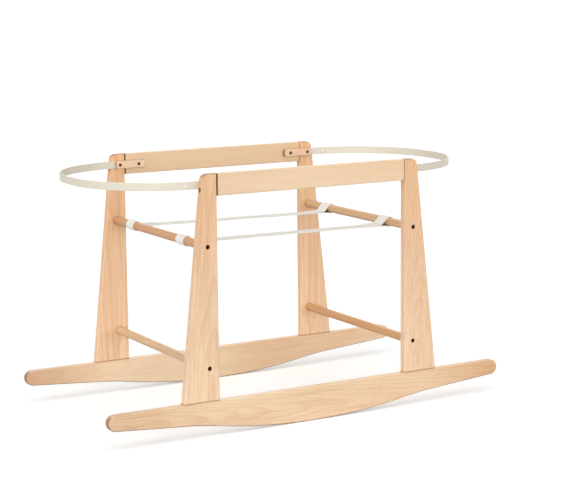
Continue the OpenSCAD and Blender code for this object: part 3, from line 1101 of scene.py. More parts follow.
@dataclass
class Hoop:
    """Two bent plastic bands, clamped inside the frames under four battens.

    Attributes:
        band_t: Thickness of a band.
        edge_r: Radius of its edges.
        end_w: Width of the flat end between the two bends.
        first_hole: Distance of the first screw hole from the end of the strip.
        hole_pitch: Distance from hole to hole along the strip.
        holes: Number of holes at each end of the strip.
        hole_d: Diameter of a hole.
        hole_sides: Number of steps round a hole.
        drill_len: Length of the drill through the strip.
        sharp: Angle in degrees from which the strip's edges stay sharp.
        batten_corner_r: Radius of the corners at a batten's inner end.
        batten_edge_r: Radius of a batten's eased edges.
        bend_steps: Steps round a bend of the band.
        corner_steps: Steps round a batten's corner.
    """

    band_t: float = 2.5 * MM
    edge_r: float = 0.6 * MM
    end_w: float = 32 * MM
    first_hole: float = 7.5 * MM
    hole_pitch: float = 42 * MM
    holes: int = 3
    hole_d: float = 4 * MM
    hole_sides: int = 32
    drill_len: float = 12 * MM
    sharp: float = 40.0
    batten_corner_r: float = 5 * MM
    batten_edge_r: float = 0.9 * MM
    bend_steps: int = 56
    corner_steps: int = 8

    def _strip_recipe(self) -> Recipe:
        """Nodes that sweep a rounded strip along a path and drill it at marked points.

        Returns:
            The tree.
        """
        nodes = Recipe("hoop strip")
        profile = nodes.out("GeometryNodeCurvePrimitiveQuadrilateral", {"mode": "RECTANGLE"}, {
            "Width": nodes.size("Thickness"), "Height": nodes.size("Height")})
        profile = nodes.out("GeometryNodeFilletCurve", {"mode": "POLY"}, {
            "Curve": profile, "Count": 4, "Radius": nodes.size("Edge radius")})
        path = nodes.out("GeometryNodeMeshToCurve", None, {"Mesh": nodes.source})
        path = nodes.out("GeometryNodeSetCurveNormal", {"mode": "Z_UP"}, {"Curve": path})
        strip = nodes.out("GeometryNodeCurveToMesh", None, {
            "Curve": path, "Profile Curve": profile, "Fill Caps": True})
        drill = nodes.out("GeometryNodeMeshCylinder", None, {
            "Vertices": self.hole_sides, "Radius": nodes.size("Hole radius"),
            "Depth": self.drill_len}, "Mesh")
        drills = nodes.on_points(nodes.shape("Hole marks"), drill)
        drills = nodes.out("GeometryNodeRealizeInstances", None, {"Geometry": drills})
        drilled = nodes.out("GeometryNodeMeshBoolean", {"operation": "DIFFERENCE"}, {
            0: strip, 1: drills}, "Mesh")
        angle = nodes.out("GeometryNodeInputMeshEdgeAngle", None, {}, "Unsigned Angle")
        sharp = nodes.out("FunctionNodeCompare", {"operation": "GREATER_THAN"}, {
            0: angle, 1: math.radians(self.sharp)})
        nodes.end(nodes.out("GeometryNodeSetShadeSmooth", {"domain": "EDGE"}, {
            "Geometry": nodes.smooth(drilled), "Selection": sharp, "Shade Smooth": False}))
        return nodes

    def _path(self, side: Side) -> list[Vector]:
        """Middle line of a band, from its front end round to its rear end.

        Args:
            side: Which band it is.

        Returns:
            The points of the line.
        """
        low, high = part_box(f"{side.word}_hoop_band")
        reach = max(abs(low.x), abs(high.x)) - self.band_t / 2
        start = min(abs(low.x), abs(high.x))
        depth = high.y - self.band_t / 2
        bend = depth - self.end_w / 2
        quarter = arc((reach - bend, self.end_w / 2), bend, 90, -90, self.bend_steps)
        half = [(start, depth), *quarter]
        flat = [(x, -y) for x, y in half] + half[::-1]
        middle = (low.z + high.z) / 2
        return [Vector((side.value * x, y, middle)) for x, y in flat]

    def _hole_marks(self, path: Sequence[Vector]) -> bpy.types.Object:
        """Points along a band where it is drilled, aimed across the strip.

        Args:
            path: Middle line of the band.

        Returns:
            The points, as a piece.
        """
        places, aims = [], []
        for line in (path, path[::-1]):
            for k in range(self.holes):
                place, along = walk(line, self.first_hole + k * self.hole_pitch)
                places.append(place)
                aims.append(along.cross(UP))
        return Workshop.piece("hole_marks", Workshop.points("hole_marks", places, aims))

    def build_bands(self) -> None:
        """Sweeps and drills both bands."""
        recipe, finish = self._strip_recipe(), HOOP_PLASTIC.material()
        for side in Side:
            node = f"{side.word}_hoop_band"
            low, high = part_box(node)
            path = self._path(side)
            marks = self._hole_marks(path)
            band = recipe.make(
                f"{side.word}_hoop_strip", Workshop.lines("path", [path]),
                Thickness=self.band_t, Height=high.z - low.z, Edge_radius=self.edge_r,
                Hole_marks=marks, Hole_radius=self.hole_d / 2, Material=finish)
            bpy.data.objects.remove(marks)
            band.modifiers.new("even shading", "WEIGHTED_NORMAL").keep_sharp = True
            settle(band, Body.STAND, Slot.HOOP, node)

    def build_battens(self) -> None:
        """Makes the four battens, with eased edges and their own grain."""
        for face in Face:
            for side in Side:
                node = f"{face.word}_{side.word}_batten"
                low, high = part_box(node)
                batten = Workshop.piece(f"{face.word}_{side.word}_clamp",
                                        self._batten_mesh(node, side, low, high))
                ease = batten.modifiers.new("eased edges", "BEVEL")
                ease.width, ease.segments, ease.limit_method = self.batten_edge_r, 3, "ANGLE"
                ease.harden_normals = True
                cut = BoardCut(node, Grain.ALONG, pith=(0, face.value * 0.25, 0.47), lean=(2, 1))
                batten.data.materials.append(BOARD_WOOD.material(cut))
                settle(batten, Body.STAND, Slot.BOARD, node)

    def _batten_mesh(self, node: str, side: Side, low: Vector, high: Vector) -> bpy.types.Mesh:
        """Outline of a batten, with its round inner corners, raised to its thickness.

        Args:
            node: CAD node that it replaces.
            side: End of the stand that it is on.
            low: Lower corner of its box.
            high: Upper corner.

        Returns:
            The closed mesh.
        """
        near, far = sorted((abs(low.x), abs(high.x)))
        r = self.batten_corner_r
        outline = [(far, low.z), (far, high.z),
                   *arc((near + r, high.z - r), r, 90, 90, self.corner_steps),
                   *arc((near + r, low.z + r), r, 180, 90, self.corner_steps)]
        form = bmesh.new()
        walls = [[form.verts.new((side.value * x, y, z)) for x, z in outline]
                 for y in (low.y, high.y)]
        for wall in walls:
            form.faces.new(wall)
        Workshop.bridge(form, *walls)
        return Workshop.close(bpy.data.meshes.new(node + "_mesh"), form, sharp=30)


def walk(line: Sequence[Vector], distance: float) -> tuple[Vector, Vector]:
    """Walks along a line of points.

    Args:
        line: The points.
        distance: How far to walk from the first.

    Returns:
        The place that is reached, and the direction there.
    """
    left = distance
    for here, there in zip(line, line[1:]):
        step = (there - here).length
        if left <= step:
            return here.lerp(there, left / step), (there - here).normalized()
        left -= step
    return line[-1].copy(), (line[-1] - line[-2]).normalized()


# ---------------------------------------------------------------- bolts and screws

# A set's node, the places and aims of its fasteners, and the mesh of one of them.
FastenerSet = tuple[str, list[Vector], list[Vector], bpy.types.Mesh]


@dataclass
class Fasteners:
    """Bolts sunk in the legs and screws on the battens.

    Attributes:
        bolt_d: Diameter of a bolt's shank.
        bolt_head_h: Height of its head.
        bolt_sides: Number of steps round it.
        chamfer: Chamfer of the head and of the socket's rim.
        socket_w: Width across the flats of its hexagon socket.
        screw_d: Diameter of a batten screw's shank.
        screw_head_d: Diameter of its head.
        screw_head_h: Height of its head.
        screw_rim: Straight rim below the dome.
        screw_point: Length of its point.
        screw_tip_r: Radius of the point's tip.
        slot_reach: Reach of an arm of the cross slot.
        slot_w: Width of an arm.
        slot_floor: Share of the slot's reach and height of two rings on its floor.
    """

    bolt_d: float = 5 * MM
    bolt_head_h: float = 5 * MM
    bolt_sides: int = 48
    chamfer: float = 0.5 * MM
    socket_w: float = 4 * MM
    screw_d: float = 3.5 * MM
    screw_head_d: float = 6.5 * MM
    screw_head_h: float = 2 * MM
    screw_rim: float = 0.6 * MM
    screw_point: float = 3.5 * MM
    screw_tip_r: float = 0.2 * MM
    slot_reach: float = 1.9 * MM
    slot_w: float = 0.9 * MM
    slot_floor: tuple[Pair, ...] = ((0.75, 0.9 * MM), (0.2, 0.7 * MM))

    @staticmethod
    def _set_recipe() -> Recipe:
        """Nodes that put a fastener on each point, turned to its aim.

        Returns:
            The tree.
        """
        nodes = Recipe("fastener set")
        nodes.end(nodes.on_points(nodes.source, nodes.shape("Fastener")))
        return nodes

    def _bolt(self, length: float) -> bpy.types.Mesh:
        """A bolt whose head sits on z = 0 and looks along +z.

        Args:
            length: Length of its shank.

        Returns:
            The closed mesh.
        """
        angles = [math.radians(360 / self.bolt_sides * k) for k in range(self.bolt_sides)]
        head_r, shank_r, c = BOLT_HEAD_D / 2, self.bolt_d / 2, self.chamfer
        top, floor = self.bolt_head_h, self.bolt_head_h / 2

        def hexagon(angle: float) -> float:
            """Distance of the socket's wall from the axis."""
            sector = math.radians(60)
            return self.socket_w / 2 / math.cos((angle + sector / 2) % sector - sector / 2)

        def socket(grow: float, height: float) -> Ring:
            """A ring of the socket, grown past its wall."""
            return lambda angle: (hexagon(angle) + grow, height)

        return Workshop.turned("bolt", angles, [
            even(shank_r - c, -length), even(shank_r, c - length), even(shank_r, 0.0),
            even(head_r, 0.0), even(head_r, top - c), even(head_r - c, top),
            socket(0.3 * c, top), socket(0.0, top - 0.4 * c), socket(0.0, floor),
            even(self.socket_w / 4, floor - c), even(0.1 * MM, floor - 1.5 * c)])

    def _screw(self, length: float) -> bpy.types.Mesh:
        """A domed screw with a cross slot, whose head sits on z = 0 and looks along +z.

        Args:
            length: Length of its shank and point.

        Returns:
            The closed mesh.
        """
        half, reach, head_r = self.slot_w / 2, self.slot_reach, self.screw_head_d / 2
        corner = math.atan2(half, reach)
        steps = [0.0, corner, *(math.radians(a) for a in (20, 32, 45, 58, 70)),
                 math.pi / 2 - corner]
        angles = [quarter * math.pi / 2 + step for quarter in range(4) for step in steps]
        rise = self.screw_head_h - self.screw_rim
        dome_r = (head_r ** 2 + rise ** 2) / (2 * rise)
        shank_r = self.screw_d / 2

        def dome(radius: float) -> float:
            """Height of the dome at a radius."""
            return self.screw_head_h - dome_r + math.sqrt(dome_r ** 2 - radius ** 2)

        def cross(angle: float) -> float:
            """Distance of the slot's wall from the axis.

            Args:
                angle: Angle round the axis.

            Returns:
                The distance, at the end of an arm or along its side.
            """
            turn = angle % (math.pi / 2)
            turn = min(turn, math.pi / 2 - turn)
            return reach / math.cos(turn) if turn <= corner + 1e-9 else half / math.sin(turn)

        def domed(share: float) -> Ring:
            """A ring on the dome, from the slot's rim at 0 to the head's rim at 1."""
            def ring(angle: float) -> Pair:
                """Radius and height at an angle."""
                radius = cross(angle) + (head_r - cross(angle)) * share
                return radius, dome(radius)
            return ring

        def slot(grow: float, height: float) -> Ring:
            """A ring on the slot's floor."""
            return lambda angle: (cross(angle) * grow, height)

        return Workshop.turned("screw", angles, [
            even(self.screw_tip_r, -length), even(shank_r, self.screw_point - length),
            even(shank_r, 0.0), even(head_r, 0.0),
            *(domed(share) for share in (1.0, 0.75, 0.5, 0.25, 0.0)),
            *(slot(*ring) for ring in self.slot_floor)])

    def build(self) -> None:
        """Makes the three sets of bolts and the two sets of screws."""
        recipe = self._set_recipe()
        bolt, screw = DARK_STEEL.material(), SCREW_STEEL.material()
        for node, places, aims, mesh in self._sets():
            part = Workshop.piece("fastener", mesh)
            spots = Workshop.points("spots", places, aims)
            heads = recipe.make(node + "_set", spots, Fastener=part,
                                Material=screw if "screw" in node else bolt)
            bpy.data.objects.remove(part)
            settle(heads, Body.STAND, Slot.STEEL, node)

    def _sets(self) -> Iterator[FastenerSet]:
        """The sets of bolts and of screws.

        Returns:
            The sets, one by one.
        """
        corners = [(side.value, face.value) for side in Side for face in Face]
        for node, axis in BOLT_AXES.items():
            low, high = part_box(node)
            seat = [high.x - BOLT_HEAD_D / 2, high.y - BOLT_HEAD_D / 2, (low.z + high.z) / 2]
            seat[axis] = high[axis] - self.bolt_head_h
            places = [Vector((s * seat[0], f * seat[1], seat[2])) for s, f in corners]
            aims = [Vector((0, f, 0) if axis else (s, 0, 0)) for s, f in corners]
            yield node, places, aims, self._bolt(seat[axis] - self._inner_tip(node, axis))
        for face in Face:
            yield self._screw_set(face)

    def _screw_set(self, face: Face) -> FastenerSet:
        """The screws on one frame's battens.

        Args:
            face: Which frame it is.

        Returns:
            Their set.
        """
        node = f"{face.word}_batten_screws"
        low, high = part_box(node)
        inner = min(abs(low.y), abs(high.y)) + self.screw_head_h
        length = max(abs(low.y), abs(high.y)) - inner
        outer_x = high.x - self.screw_head_d / 2
        inner_x = self._inner_tip(node, 0) + self.screw_head_d / 2
        middle = (low.z + high.z) / 2
        places = [Vector((side.value * x, face.value * inner, middle))
                  for side in Side for x in (inner_x, outer_x)]
        return node, places, [Vector((0, -face.value, 0))] * len(places), self._screw(length)

    @staticmethod
    def _inner_tip(node: str, axis: int) -> float:
        """Distance of a node's innermost point from the middle of the stand, along an axis."""
        return min(abs(v.co[axis]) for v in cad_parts[node].data.vertices)


# ---------------------------------------------------------------- straps

@dataclass
class Strap:
    """Webbing strap: a through ply, and at each end a loop round the bar with a sewn tail.

    Attributes:
        body: Body that it is.
        left_drop: Depth of the left loop's sewn point below the bar's axis.
        right_drop: The same at the right.
        thick: Thickness of the webbing.
        play: Play between the loop and its bar.
        reach: Distance from a bar's axis to the inside of the loop's sewn point.
        tail: Length of the sewn tail.
        bend: Length of each half of the soft bend at the sewn point.
        stitch_in: Distance of the seam from the webbing's edges.
        stitch_pitch: Distance from stitch to stitch.
        stitch_len: Length of a stitch.
        thread_r: Radius of the sewing thread.
        span_steps: Steps along the span between the sewn ends.
        loop_steps: Steps round a bar.
        tail_steps: Steps along a tail.
        run_steps: Steps along a straight run between a bar and the sewn point.
        length: Length of its path, known once it is built.
    """

    body: Body
    left_drop: float
    right_drop: float
    thick: float = 1.6 * MM
    play: float = 0.3 * MM
    reach: float = 20 * MM
    tail: float = 30 * MM
    bend: float = 5 * MM
    stitch_in: float = 4 * MM
    stitch_pitch: float = 2.9 * MM
    stitch_len: float = 2.5 * MM
    thread_r: float = 0.35 * MM
    span_steps: int = 112
    loop_steps: int = 40
    tail_steps: int = 10
    run_steps: int = 6
    length: float = field(init=False, default=0.0)

    def __post_init__(self) -> None:
        """Takes the places of the bars and of the strap from the CAD."""
        low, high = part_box("upper_right_bar")
        self.bar_x, self.bar_z = (low.x + high.x) / 2, (low.z + high.z) / 2
        self.bar_r = (high.z - low.z) / 2
        low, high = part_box(self.body.value)
        self.y, self.width = (low.y + high.y) / 2, high.y - low.y
        self.loop_r = self.bar_r + self.play + self.thick / 2

    def _end(self, side: Side) -> tuple[Vector, Vector, Vector]:
        """Sewn end of a loop, in (x, z) from its bar's axis with the strap towards -x.

        Args:
            side: Which end it is.

        Returns:
            The sewn point, the way along the strap, and half the webbing's thickness upwards.
        """
        drops = {Side.LEFT: self.left_drop, Side.RIGHT: self.right_drop}
        rise = side.value * (self.right_drop - self.left_drop) / (2 * (self.bar_x - self.reach))
        along = Vector((-1.0, rise)).normalized()
        turn = math.asin(drops[side] / self.reach)
        point = Vector((-math.cos(turn), -math.sin(turn))) * self.reach
        return point, along, Vector((along.y, -along.x)) * self.thick / 2

    def _end_path(self, side: Side) -> list[Vector]:
        """Middle line round one bar, from the tail's end to the through ply.

        Args:
            side: Which end it is.

        Returns:
            The points of the line, placed as in _end.
        """
        point, along, up = self._end(side)
        turn = math.atan2(point.y, point.x) % math.tau - math.pi
        half_angle = math.asin((self.bar_r + self.play) / self.reach)
        steep, shallow = turn + half_angle, turn - half_angle
        loop = [Vector(p) for p in arc(
            (0, 0), self.loop_r, 90 + math.degrees(steep), -180 - 2 * math.degrees(half_angle),
            self.loop_steps)]
        end, start = point + up + along * self.tail, point - up + along * self.tail
        fold = soft_bend(crossing(end, along, loop[0], unit(steep)), end, loop[0], self.bend)
        foot = soft_bend(crossing(start, along, loop[-1], unit(shallow)), loop[-1], start,
                         self.bend)
        return [*spread(end, fold[0], self.tail_steps), *fold[1:-1],
                *spread(fold[-1], loop[0], self.run_steps), *loop[1:-1],
                *spread(loop[-1], foot[0], self.run_steps), *foot[1:]]

    def _path(self) -> list[Vector]:
        """Middle line of the whole strap, from the right tail to the left one.

        Returns:
            The points of the line.
        """
        ends = {side: [Vector((side.value * (self.bar_x + p.x), self.bar_z + p.y))
                       for p in self._end_path(side)] for side in Side}
        right, left = ends[Side.RIGHT], ends[Side.LEFT][::-1]
        flat = [*right, *spread(right[-1], left[0], self.span_steps)[1:-1], *left]
        return [Vector((p.x, self.y, p.y)) for p in flat]

    def _section(self) -> list[Pair]:
        """Section of the webbing: flat, with thin rounded selvedges.

        Returns:
            The points of its outline, across and up.
        """
        half, up = self.width / 2, self.thick / 2
        edge = [(half - 0.9 * up, up), (half - 0.35 * up, 0.8 * up), (half, 0.3 * up)]
        top = [(half * share, up) for share in (-0.72, -0.36, 0.0, 0.36, 0.72)]
        row = [(-x, z) for x, z in edge[::-1]] + top + edge
        return row + [(x, -z) for x, z in row[::-1]]

    def build(self, finish: bpy.types.Material, sewing: bpy.types.Material,
              seam: Recipe) -> None:
        """Makes the strap and its seams.

        Args:
            finish: Finish of the webbing.
            sewing: Finish of the thread.
            seam: Nodes that sew along a line.
        """
        path = self._path()
        self.length = sum((b - a).length for a, b in zip(path, path[1:]))
        ribbon = Workshop.piece(f"{self.body.value}_webbing", self._ribbon(path))
        ribbon.data.materials.append(finish)
        settle(ribbon, self.body, Slot.WEBBING, self.body.value)
        stitches = seam.make(
            f"{self.body.value}_stitching", Workshop.lines("seam", list(self._seams())),
            Pitch=self.stitch_pitch, Half_length=self.stitch_len / 2, Radius=self.thread_r,
            Material=sewing)
        settle(stitches, self.body, Slot.WEBBING)

    def _ribbon(self, path: Sequence[Vector]) -> bpy.types.Mesh:
        """Sweeps the section along the path, with a UV map in metres.

        Args:
            path: Middle line of the strap.

        Returns:
            The closed mesh.
        """
        section = self._section()
        count = len(section)
        form = bmesh.new()
        uv = form.loops.layers.uv.new("UVMap")
        rings, runs, run = [], [], 0.0
        for k, place in enumerate(path):
            before, after = path[max(k - 1, 0)], path[min(k + 1, len(path) - 1)]
            along = (after - before).normalized()
            out = Vector((-along.z, 0, along.x))
            run += (place - path[k - 1]).length if k else 0.0
            rings.append([form.verts.new(place + out * up + Vector((0, across, 0)))
                          for across, up in section])
            runs.append(run)

        def face(corners: Sequence[bmesh.types.BMVert], places: Sequence[Pair]
                 ) -> None:
            """Adds a face with its UV places."""
            for loop, place in zip(form.faces.new(corners).loops, places):
                loop[uv].uv = place

        for k in range(len(path) - 1):
            for j in range(count):
                n = (j + 1) % count
                first, last = section[j][0] + self.width / 2, section[n][0] + self.width / 2
                face((rings[k][j], rings[k][n], rings[k + 1][n], rings[k + 1][j]),
                     ((first, runs[k]), (last, runs[k]), (last, runs[k + 1]),
                      (first, runs[k + 1])))
        for ring, at in ((rings[0], runs[0]), (rings[-1], runs[-1])):
            face(ring, [(across + self.width / 2, at + up) for across, up in section])
        return Workshop.close(bpy.data.meshes.new(f"{self.body.value}_mesh"), form, sharp=50)

    def _seams(self) -> Iterator[list[Vector]]:
        """Lines of the box seam, with its cross, above and below both tails.

        Returns:
            The lines, one by one.
        """
        half = self.width / 2 - self.stitch_in
        near, far = self.stitch_in, self.tail - self.stitch_in
        box = [(near, -half), (far, -half), (far, half), (near, half), (near, -half)]
        for side in Side:
            point, along, up = self._end(side)
            for ply in (point + 2 * up, point - 2 * up):
                def spot(back: float, across: float) -> Vector:
                    """Point of the seam in the frame."""
                    place = ply + along * back
                    return Vector((side.value * (self.bar_x + place.x), self.y + across,
                                   self.bar_z + place.y))
                yield [spot(*corner) for corner in box]
                yield [spot(near, -half), spot(far, half)]
                yield [spot(near, half), spot(far, -half)]


def unit(angle: float) -> Vector:
    """Direction at an angle in radians, in the plane."""
    return Vector((math.cos(angle), math.sin(angle)))


def spread(start: Vector, end: Vector, steps: int) -> list[Vector]:
    """Evenly spread points on a straight line, with both ends."""
    return [start.lerp(end, k / steps) for k in range(steps + 1)]


def crossing(first: Vector, way: Vector, second: Vector, other: Vector) -> Vector:
    """Point where two lines in the plane cross, each given by a point and a direction."""
    return first + way * ((second - first).cross(other) / way.cross(other))


def soft_bend(corner: Vector, before: Vector, after: Vector, back: float,
              steps: int = 8) -> list[Vector]:
    """Rounds a corner of a line.

    Args:
        corner: The corner.
        before: A point on the line before it.
        after: A point on the line after it.
        back: Distance from the corner to each end of the bend.
        steps: Number of steps.

    Returns:
        Points of the bend, with both ends.
    """
    start = corner + (before - corner).normalized() * back
    end = corner + (after - corner).normalized() * back
    shares = [k / steps for k in range(steps + 1)]
    return [start.lerp(corner, t).lerp(corner.lerp(end, t), t) for t in shares]


def seam_recipe() -> Recipe:
    """Nodes that lay stitches end to end along lines.

    Returns:
        The tree.
    """
    nodes = Recipe("seam")
    line = nodes.out("GeometryNodeMeshToCurve", None, {"Mesh": nodes.source})
    line = nodes.out("GeometryNodeResampleCurve", {"mode": "LENGTH"}, {
        "Curve": line, "Length": nodes.size("Pitch")})
    along = nodes.out("GeometryNodeInputTangent", None, {})
    bead = nodes.out("GeometryNodeMeshUVSphere", None, {
        "Segments": 8, "Rings": 6, "Radius": 1.0}, "Mesh")
    radius = nodes.size("Radius")
    scale = nodes.out("ShaderNodeCombineXYZ", None, {
        "X": nodes.size("Half length"), "Y": radius, "Z": radius})
    stitch = nodes.out("GeometryNodeTransform", None, {"Geometry": bead, "Scale": scale})
    nodes.end(nodes.on_points(line, nodes.smooth(stitch), "X", along))
    return nodes


# ---------------------------------------------------------------- studio

@dataclass(frozen=True)
class Lamp:
    """A soft lamp, or a row of them, so far away that it lights the floor evenly.

    Attributes:
        name: Its name.
        place: Where it hangs, seen from the stand.
        spread: Angle that a lamp fills, in degrees.
        level: Level of a white surface that faces it.
        row: Number of lamps in the row.
        fan: Angle that the row takes up to the left and right, in degrees.
    """

    name: str
    place: Point
    spread: float
    level: float
    row: int = 1
    fan: float = 0.0

    def build(self) -> None:
        """Hangs the lamps."""
        for k, place in enumerate(self._places()):
            name = f"{self.name}_{k}"
            data = bpy.data.lights.new(name, "SUN")
            data.energy = self.level / self.row * math.pi
            data.angle = math.radians(self.spread)
            lamp = bpy.data.objects.new(name, data)
            bpy.context.scene.collection.objects.link(lamp)
            lamp.location = place
            lamp.rotation_euler = (-place).to_track_quat("-Z", "Y").to_euler()

    def _places(self) -> list[Vector]:
        """Places of the lamps in the row.

        Returns:
            The places, from one end of the row to the other.
        """
        place = Vector(self.place)
        axis = place.cross(Vector((1, 0, 0)))
        turns = (self.fan * (k / max(self.row - 1, 1) - 0.5) for k in range(self.row))
        return [Matrix.Rotation(math.radians(t), 3, axis) @ place for t in turns]

    @property
    def on_floor(self) -> float:
        """Level of a white floor under it."""
        return sum(p.normalized().z for p in self._places()) * self.level / self.row


@dataclass(frozen=True)
class Studio:
    """Camera, lamps, white floor and white surround.

    Attributes:
        eye: Place of the camera.
        yaw: Turn of its view to the right of +Y, in degrees.
        pitch: Its view below the level, in degrees.
        roll: Its roll, in degrees.
        focal_px: Focal length in pixels of the photograph.
        frame_w: Width of the photograph in pixels.
        sensor: Width of the sensor in millimetres.
        sky: Strength of the surround as a light.
        floor_grey: Share of the light that the floor gives back to the stand.
        floor_seen: Share that it gives back to the camera, so that its shadow shows.
        white: Level of the open floor and of the surround as the camera sees them.
        lamps: The lamps.
        floor_reach: Reach of the floor to each side.
    """

    eye: Point = (-1.6347, -2.9689, 0.8702)
    yaw: float = 29.605
    pitch: float = 9.193
    roll: float = -0.565
    focal_px: float = 1686.04
    frame_w: float = 566.0
    sensor: float = 36.0
    sky: float = 0.26
    floor_grey: float = 0.68
    floor_seen: float = 1.0
    white: float = 1.06
    lamps: tuple[Lamp, ...] = (
        Lamp("key", (-0.8, -1.15, 2.6), spread=44.0, level=0.34, row=5, fan=76.0),
        Lamp("front", (-0.5, -2.6, 0.64), spread=24.0, level=0.55, row=5, fan=96.0),
        Lamp("left", (-2.8, -0.5, 0.9), spread=60.0, level=0.26),
        Lamp("back", (1.9, 2.4, 0.55), spread=70.0, level=0.38),
    )
    floor_reach: float = 8.0

    def build(self) -> None:
        """Sets up the camera, the lamps, the floor and the surround."""
        scene = bpy.context.scene
        scene.view_settings.view_transform = "Standard"
        scene.camera = self._camera()
        for lamp in self.lamps:
            lamp.build()
        self._floor()
        self._surround(scene)

    def _camera(self) -> bpy.types.Object:
        """Camera at the photograph's place and angle.

        Returns:
            The camera.
        """
        yaw, pitch, roll = (math.radians(a) for a in (self.yaw, self.pitch, self.roll))
        ahead = Vector((math.sin(yaw) * math.cos(pitch), math.cos(yaw) * math.cos(pitch),
                        -math.sin(pitch)))
        level = Vector((math.cos(yaw), -math.sin(yaw), 0.0))
        over = level.cross(ahead)
        right = level * math.cos(roll) + over * math.sin(roll)
        up = over * math.cos(roll) - level * math.sin(roll)
        data = bpy.data.cameras.new("camera")
        data.sensor_fit, data.sensor_width = "HORIZONTAL", self.sensor
        data.lens = self.focal_px / self.frame_w * self.sensor
        camera = bpy.data.objects.new("camera", data)
        bpy.context.scene.collection.objects.link(camera)
        turn = Matrix((right, up, -ahead)).transposed().to_4x4()
        camera.matrix_world = Matrix.Translation(self.eye) @ turn
        return camera

    @staticmethod
    def _seen(kit: NodeKit) -> Number:
        """Tells what is seen from what only lights the object.

        Args:
            kit: Tree that the nodes are added to.

        Returns:
            1 for the camera and for mirrored and refracted views, 0 for other light.
        """
        path = kit.add("ShaderNodeLightPath")
        seen = [Number(kit, path.outputs[f"Is {ray} Ray"])
                for ray in ("Camera", "Glossy", "Transmission")]
        return seen[0].math("MAXIMUM", seen[1]).math("MAXIMUM", seen[2])

    def _floor(self) -> None:
        """White floor that keeps the object's shadow."""
        mesh, far = bpy.data.meshes.new("floor"), self.floor_reach
        mesh.from_pydata([(-far, -far, 0), (far, -far, 0), (far, far, 0), (-far, far, 0)], [],
                         [(0, 1, 2, 3)])
        floor = Workshop.piece("floor", mesh)
        kit = Shader("floor_white")
        lit = self.floor_seen * (self.sky + sum(lamp.on_floor for lamp in self.lamps))
        seen = self._seen(kit)
        grey = seen * (self.floor_seen - self.floor_grey) + self.floor_grey
        matt = kit.add("ShaderNodeBsdfDiffuse", None, {"Color": grey})
        lift = kit.add("ShaderNodeEmission", None, {
            "Color": (1.0, 1.0, 1.0), "Strength": seen * (self.white - lit)})
        both = kit.add("ShaderNodeAddShader", None, {0: matt.outputs[0], 1: lift.outputs[0]})
        kit.add("ShaderNodeOutputMaterial", None, {"Surface": both.outputs[0]})
        mesh.materials.append(kit.material)

    def _surround(self, scene: bpy.types.Scene) -> None:
        """White surround for the camera, and a softer one as a light.

        Args:
            scene: The scene that it surrounds.
        """
        world = bpy.data.worlds.new("surround")
        world.use_nodes = True
        world.node_tree.nodes.clear()
        kit = NodeKit(world.node_tree)
        strength = self._seen(kit) * (self.white - self.sky) + self.sky
        glow = kit.add("ShaderNodeBackground", None, {
            "Color": (1.0, 1.0, 1.0), "Strength": strength})
        kit.add("ShaderNodeOutputWorld", None, {"Surface": glow.outputs[0]})
        scene.world = world


# ---------------------------------------------------------------- the stand

# Painted shade in the seams: where the legs stand on the rockers, where the rails butt on the
# legs (darker at the left end), and where the bars meet the frames.
FOOT = Joint(axis=2, place=0.068, depth=0.8, colour=FOOT_SHADE)
BUTTS = (Joint(axis=0, place=-0.209, depth=1.0), Joint(axis=0, place=0.209, depth=0.4))
ENDS = (Joint(axis=1, place=-0.1975, depth=0.5), Joint(axis=1, place=0.1975, depth=0.5))
# Painted light on the legs: darker towards the top and paler towards the foot.
LEG_PAINTED_LIGHT = (Fade(0.27, 0.46, (0.98, 0.90, 0.80)), Fade(0.25, 0.09, (1.07, 1.08, 1.09)))


def leg(side: Side, pith: Point, lean: Pair, tint: Colour = (1.0, 1.0, 1.0)) -> BoardCut:
    """Cut of a leg: painted light makes it darker towards its top and paler at its foot, with
    painted shade where it stands on the rocker.
    """
    return BoardCut(f"{side.word}_leg", Grain.UPRIGHT, pith, lean, tint, joints=(FOOT,),
                    fades=LEG_PAINTED_LIGHT, figure=1.25)


def bar(node: str, pith: Point, lean: Pair, tint: Colour) -> BoardCut:
    """Cut of a bar: painted shade on its underside and at each end, where it meets the frames."""
    return BoardCut(node, Grain.ACROSS, pith, lean, tint, joints=ENDS, sole=0.16)


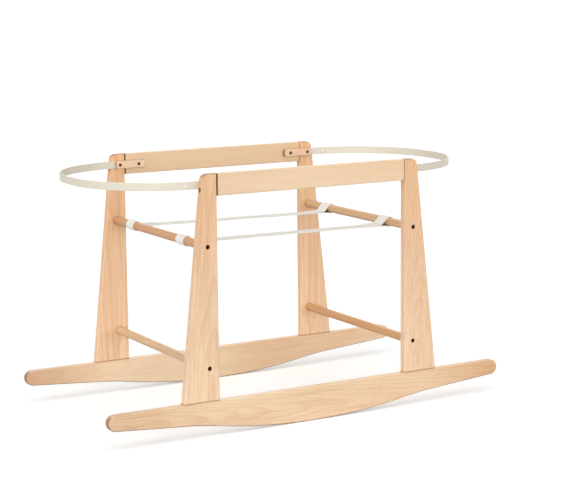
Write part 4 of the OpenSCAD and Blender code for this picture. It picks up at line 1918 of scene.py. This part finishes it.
FRONT_CUTS = (
    BoardCut("rocker", Grain.ALONG, pith=(0.0, -0.175, 0.030), lean=(1.2, 2.2),
             tint=(1.03, 1.08, 1.09), figure=1.2, sole=0.85,
             fades=(Fade(-0.22, -0.40, (0.87, 0.79, 0.73)),
                    Fade(0.25, 0.43, (0.82, 0.69, 0.56)))),
    leg(Side.LEFT, pith=(-0.225, -0.150, 0.2), lean=(0.7, 1.6)),
    leg(Side.RIGHT, pith=(0.245, -0.185, 0.2), lean=(1.0, 4.5)),
    BoardCut("top_rail", Grain.ALONG, pith=(0.0, -0.120, 0.46), lean=(0.5, 0.8),
             tint=(1.02, 1.06, 1.07), joints=BUTTS, figure=0.3,
             fades=(Fade(-0.05, -0.20, (0.97, 0.92, 0.88)),)),
)
REAR_CUTS = (
    # Rear rocker: its tint and fades are its tone plus painted light, lifting the middle that the
    # front frame shades and leaving the arms darker.
    BoardCut("rocker", Grain.ALONG, pith=(0.0, 0.265, 0.060), lean=(-1.0, 2.0),
             tint=(1.10, 1.18, 1.22), figure=0.6, sole=0.85,
             fades=(Fade(-0.26, -0.42, (0.76, 0.62, 0.56)),
                    Fade(-0.02, 0.10, (0.93, 0.84, 0.79)))),
    leg(Side.LEFT, pith=(-0.24, 0.275, 0.2), lean=(-0.8, -1.2), tint=(1.02, 0.95, 0.89)),
    leg(Side.RIGHT, pith=(0.235, 0.260, 0.2), lean=(1.2, -0.8), tint=(1.03, 1.0, 0.95)),
    BoardCut("top_rail", Grain.ALONG, pith=(0.0, 0.300, 0.50), lean=(0.6, -0.5),
             tint=(0.92, 0.90, 0.84), joints=BUTTS, figure=0.3),
)
BAR_CUTS = (
    bar("upper_left_bar", pith=(-0.20, 0.0, 0.39), lean=(1.0, 0.8), tint=(0.91, 0.78, 0.70)),
    bar("upper_right_bar", pith=(0.25, 0.0, 0.33), lean=(-0.8, 1.0), tint=(1.02, 1.04, 1.06)),
    bar("lower_left_bar", pith=(-0.26, 0.0, 0.16), lean=(0.7, -1.0), tint=(1.11, 1.21, 1.42)),
    bar("lower_right_bar", pith=(0.20, 0.0, 0.10), lean=(-1.2, -0.6), tint=(1.01, 0.89, 0.76)),
)


def main() -> None:
    """Builds the studio and the stand, piece by piece."""
    logging.basicConfig(level=logging.INFO, format="%(name)s: %(message)s")
    Studio().build()
    SideFrame(Face.FRONT, FRONT_CUTS).dress()
    SideFrame(Face.REAR, REAR_CUTS).dress()
    CrossBars(BAR_CUTS).dress()
    HiddenFittings().dress()
    hoop = Hoop()
    hoop.build_bands()
    hoop.build_battens()
    Fasteners().build()
    webbing, sewing, seam = WEBBING.material(), WEBBING.sewing(), seam_recipe()
    for strap in (Strap(Body.FRONT_STRAP, left_drop=3.0 * MM, right_drop=6.6 * MM),
                  Strap(Body.REAR_STRAP, left_drop=0.5 * MM, right_drop=7.1 * MM)):
        strap.build(webbing, sewing, seam)
        LOG.info("%s is cut %.1f mm long", strap.body.value, strap.length / MM)


if __name__ == "__main__":
    main()
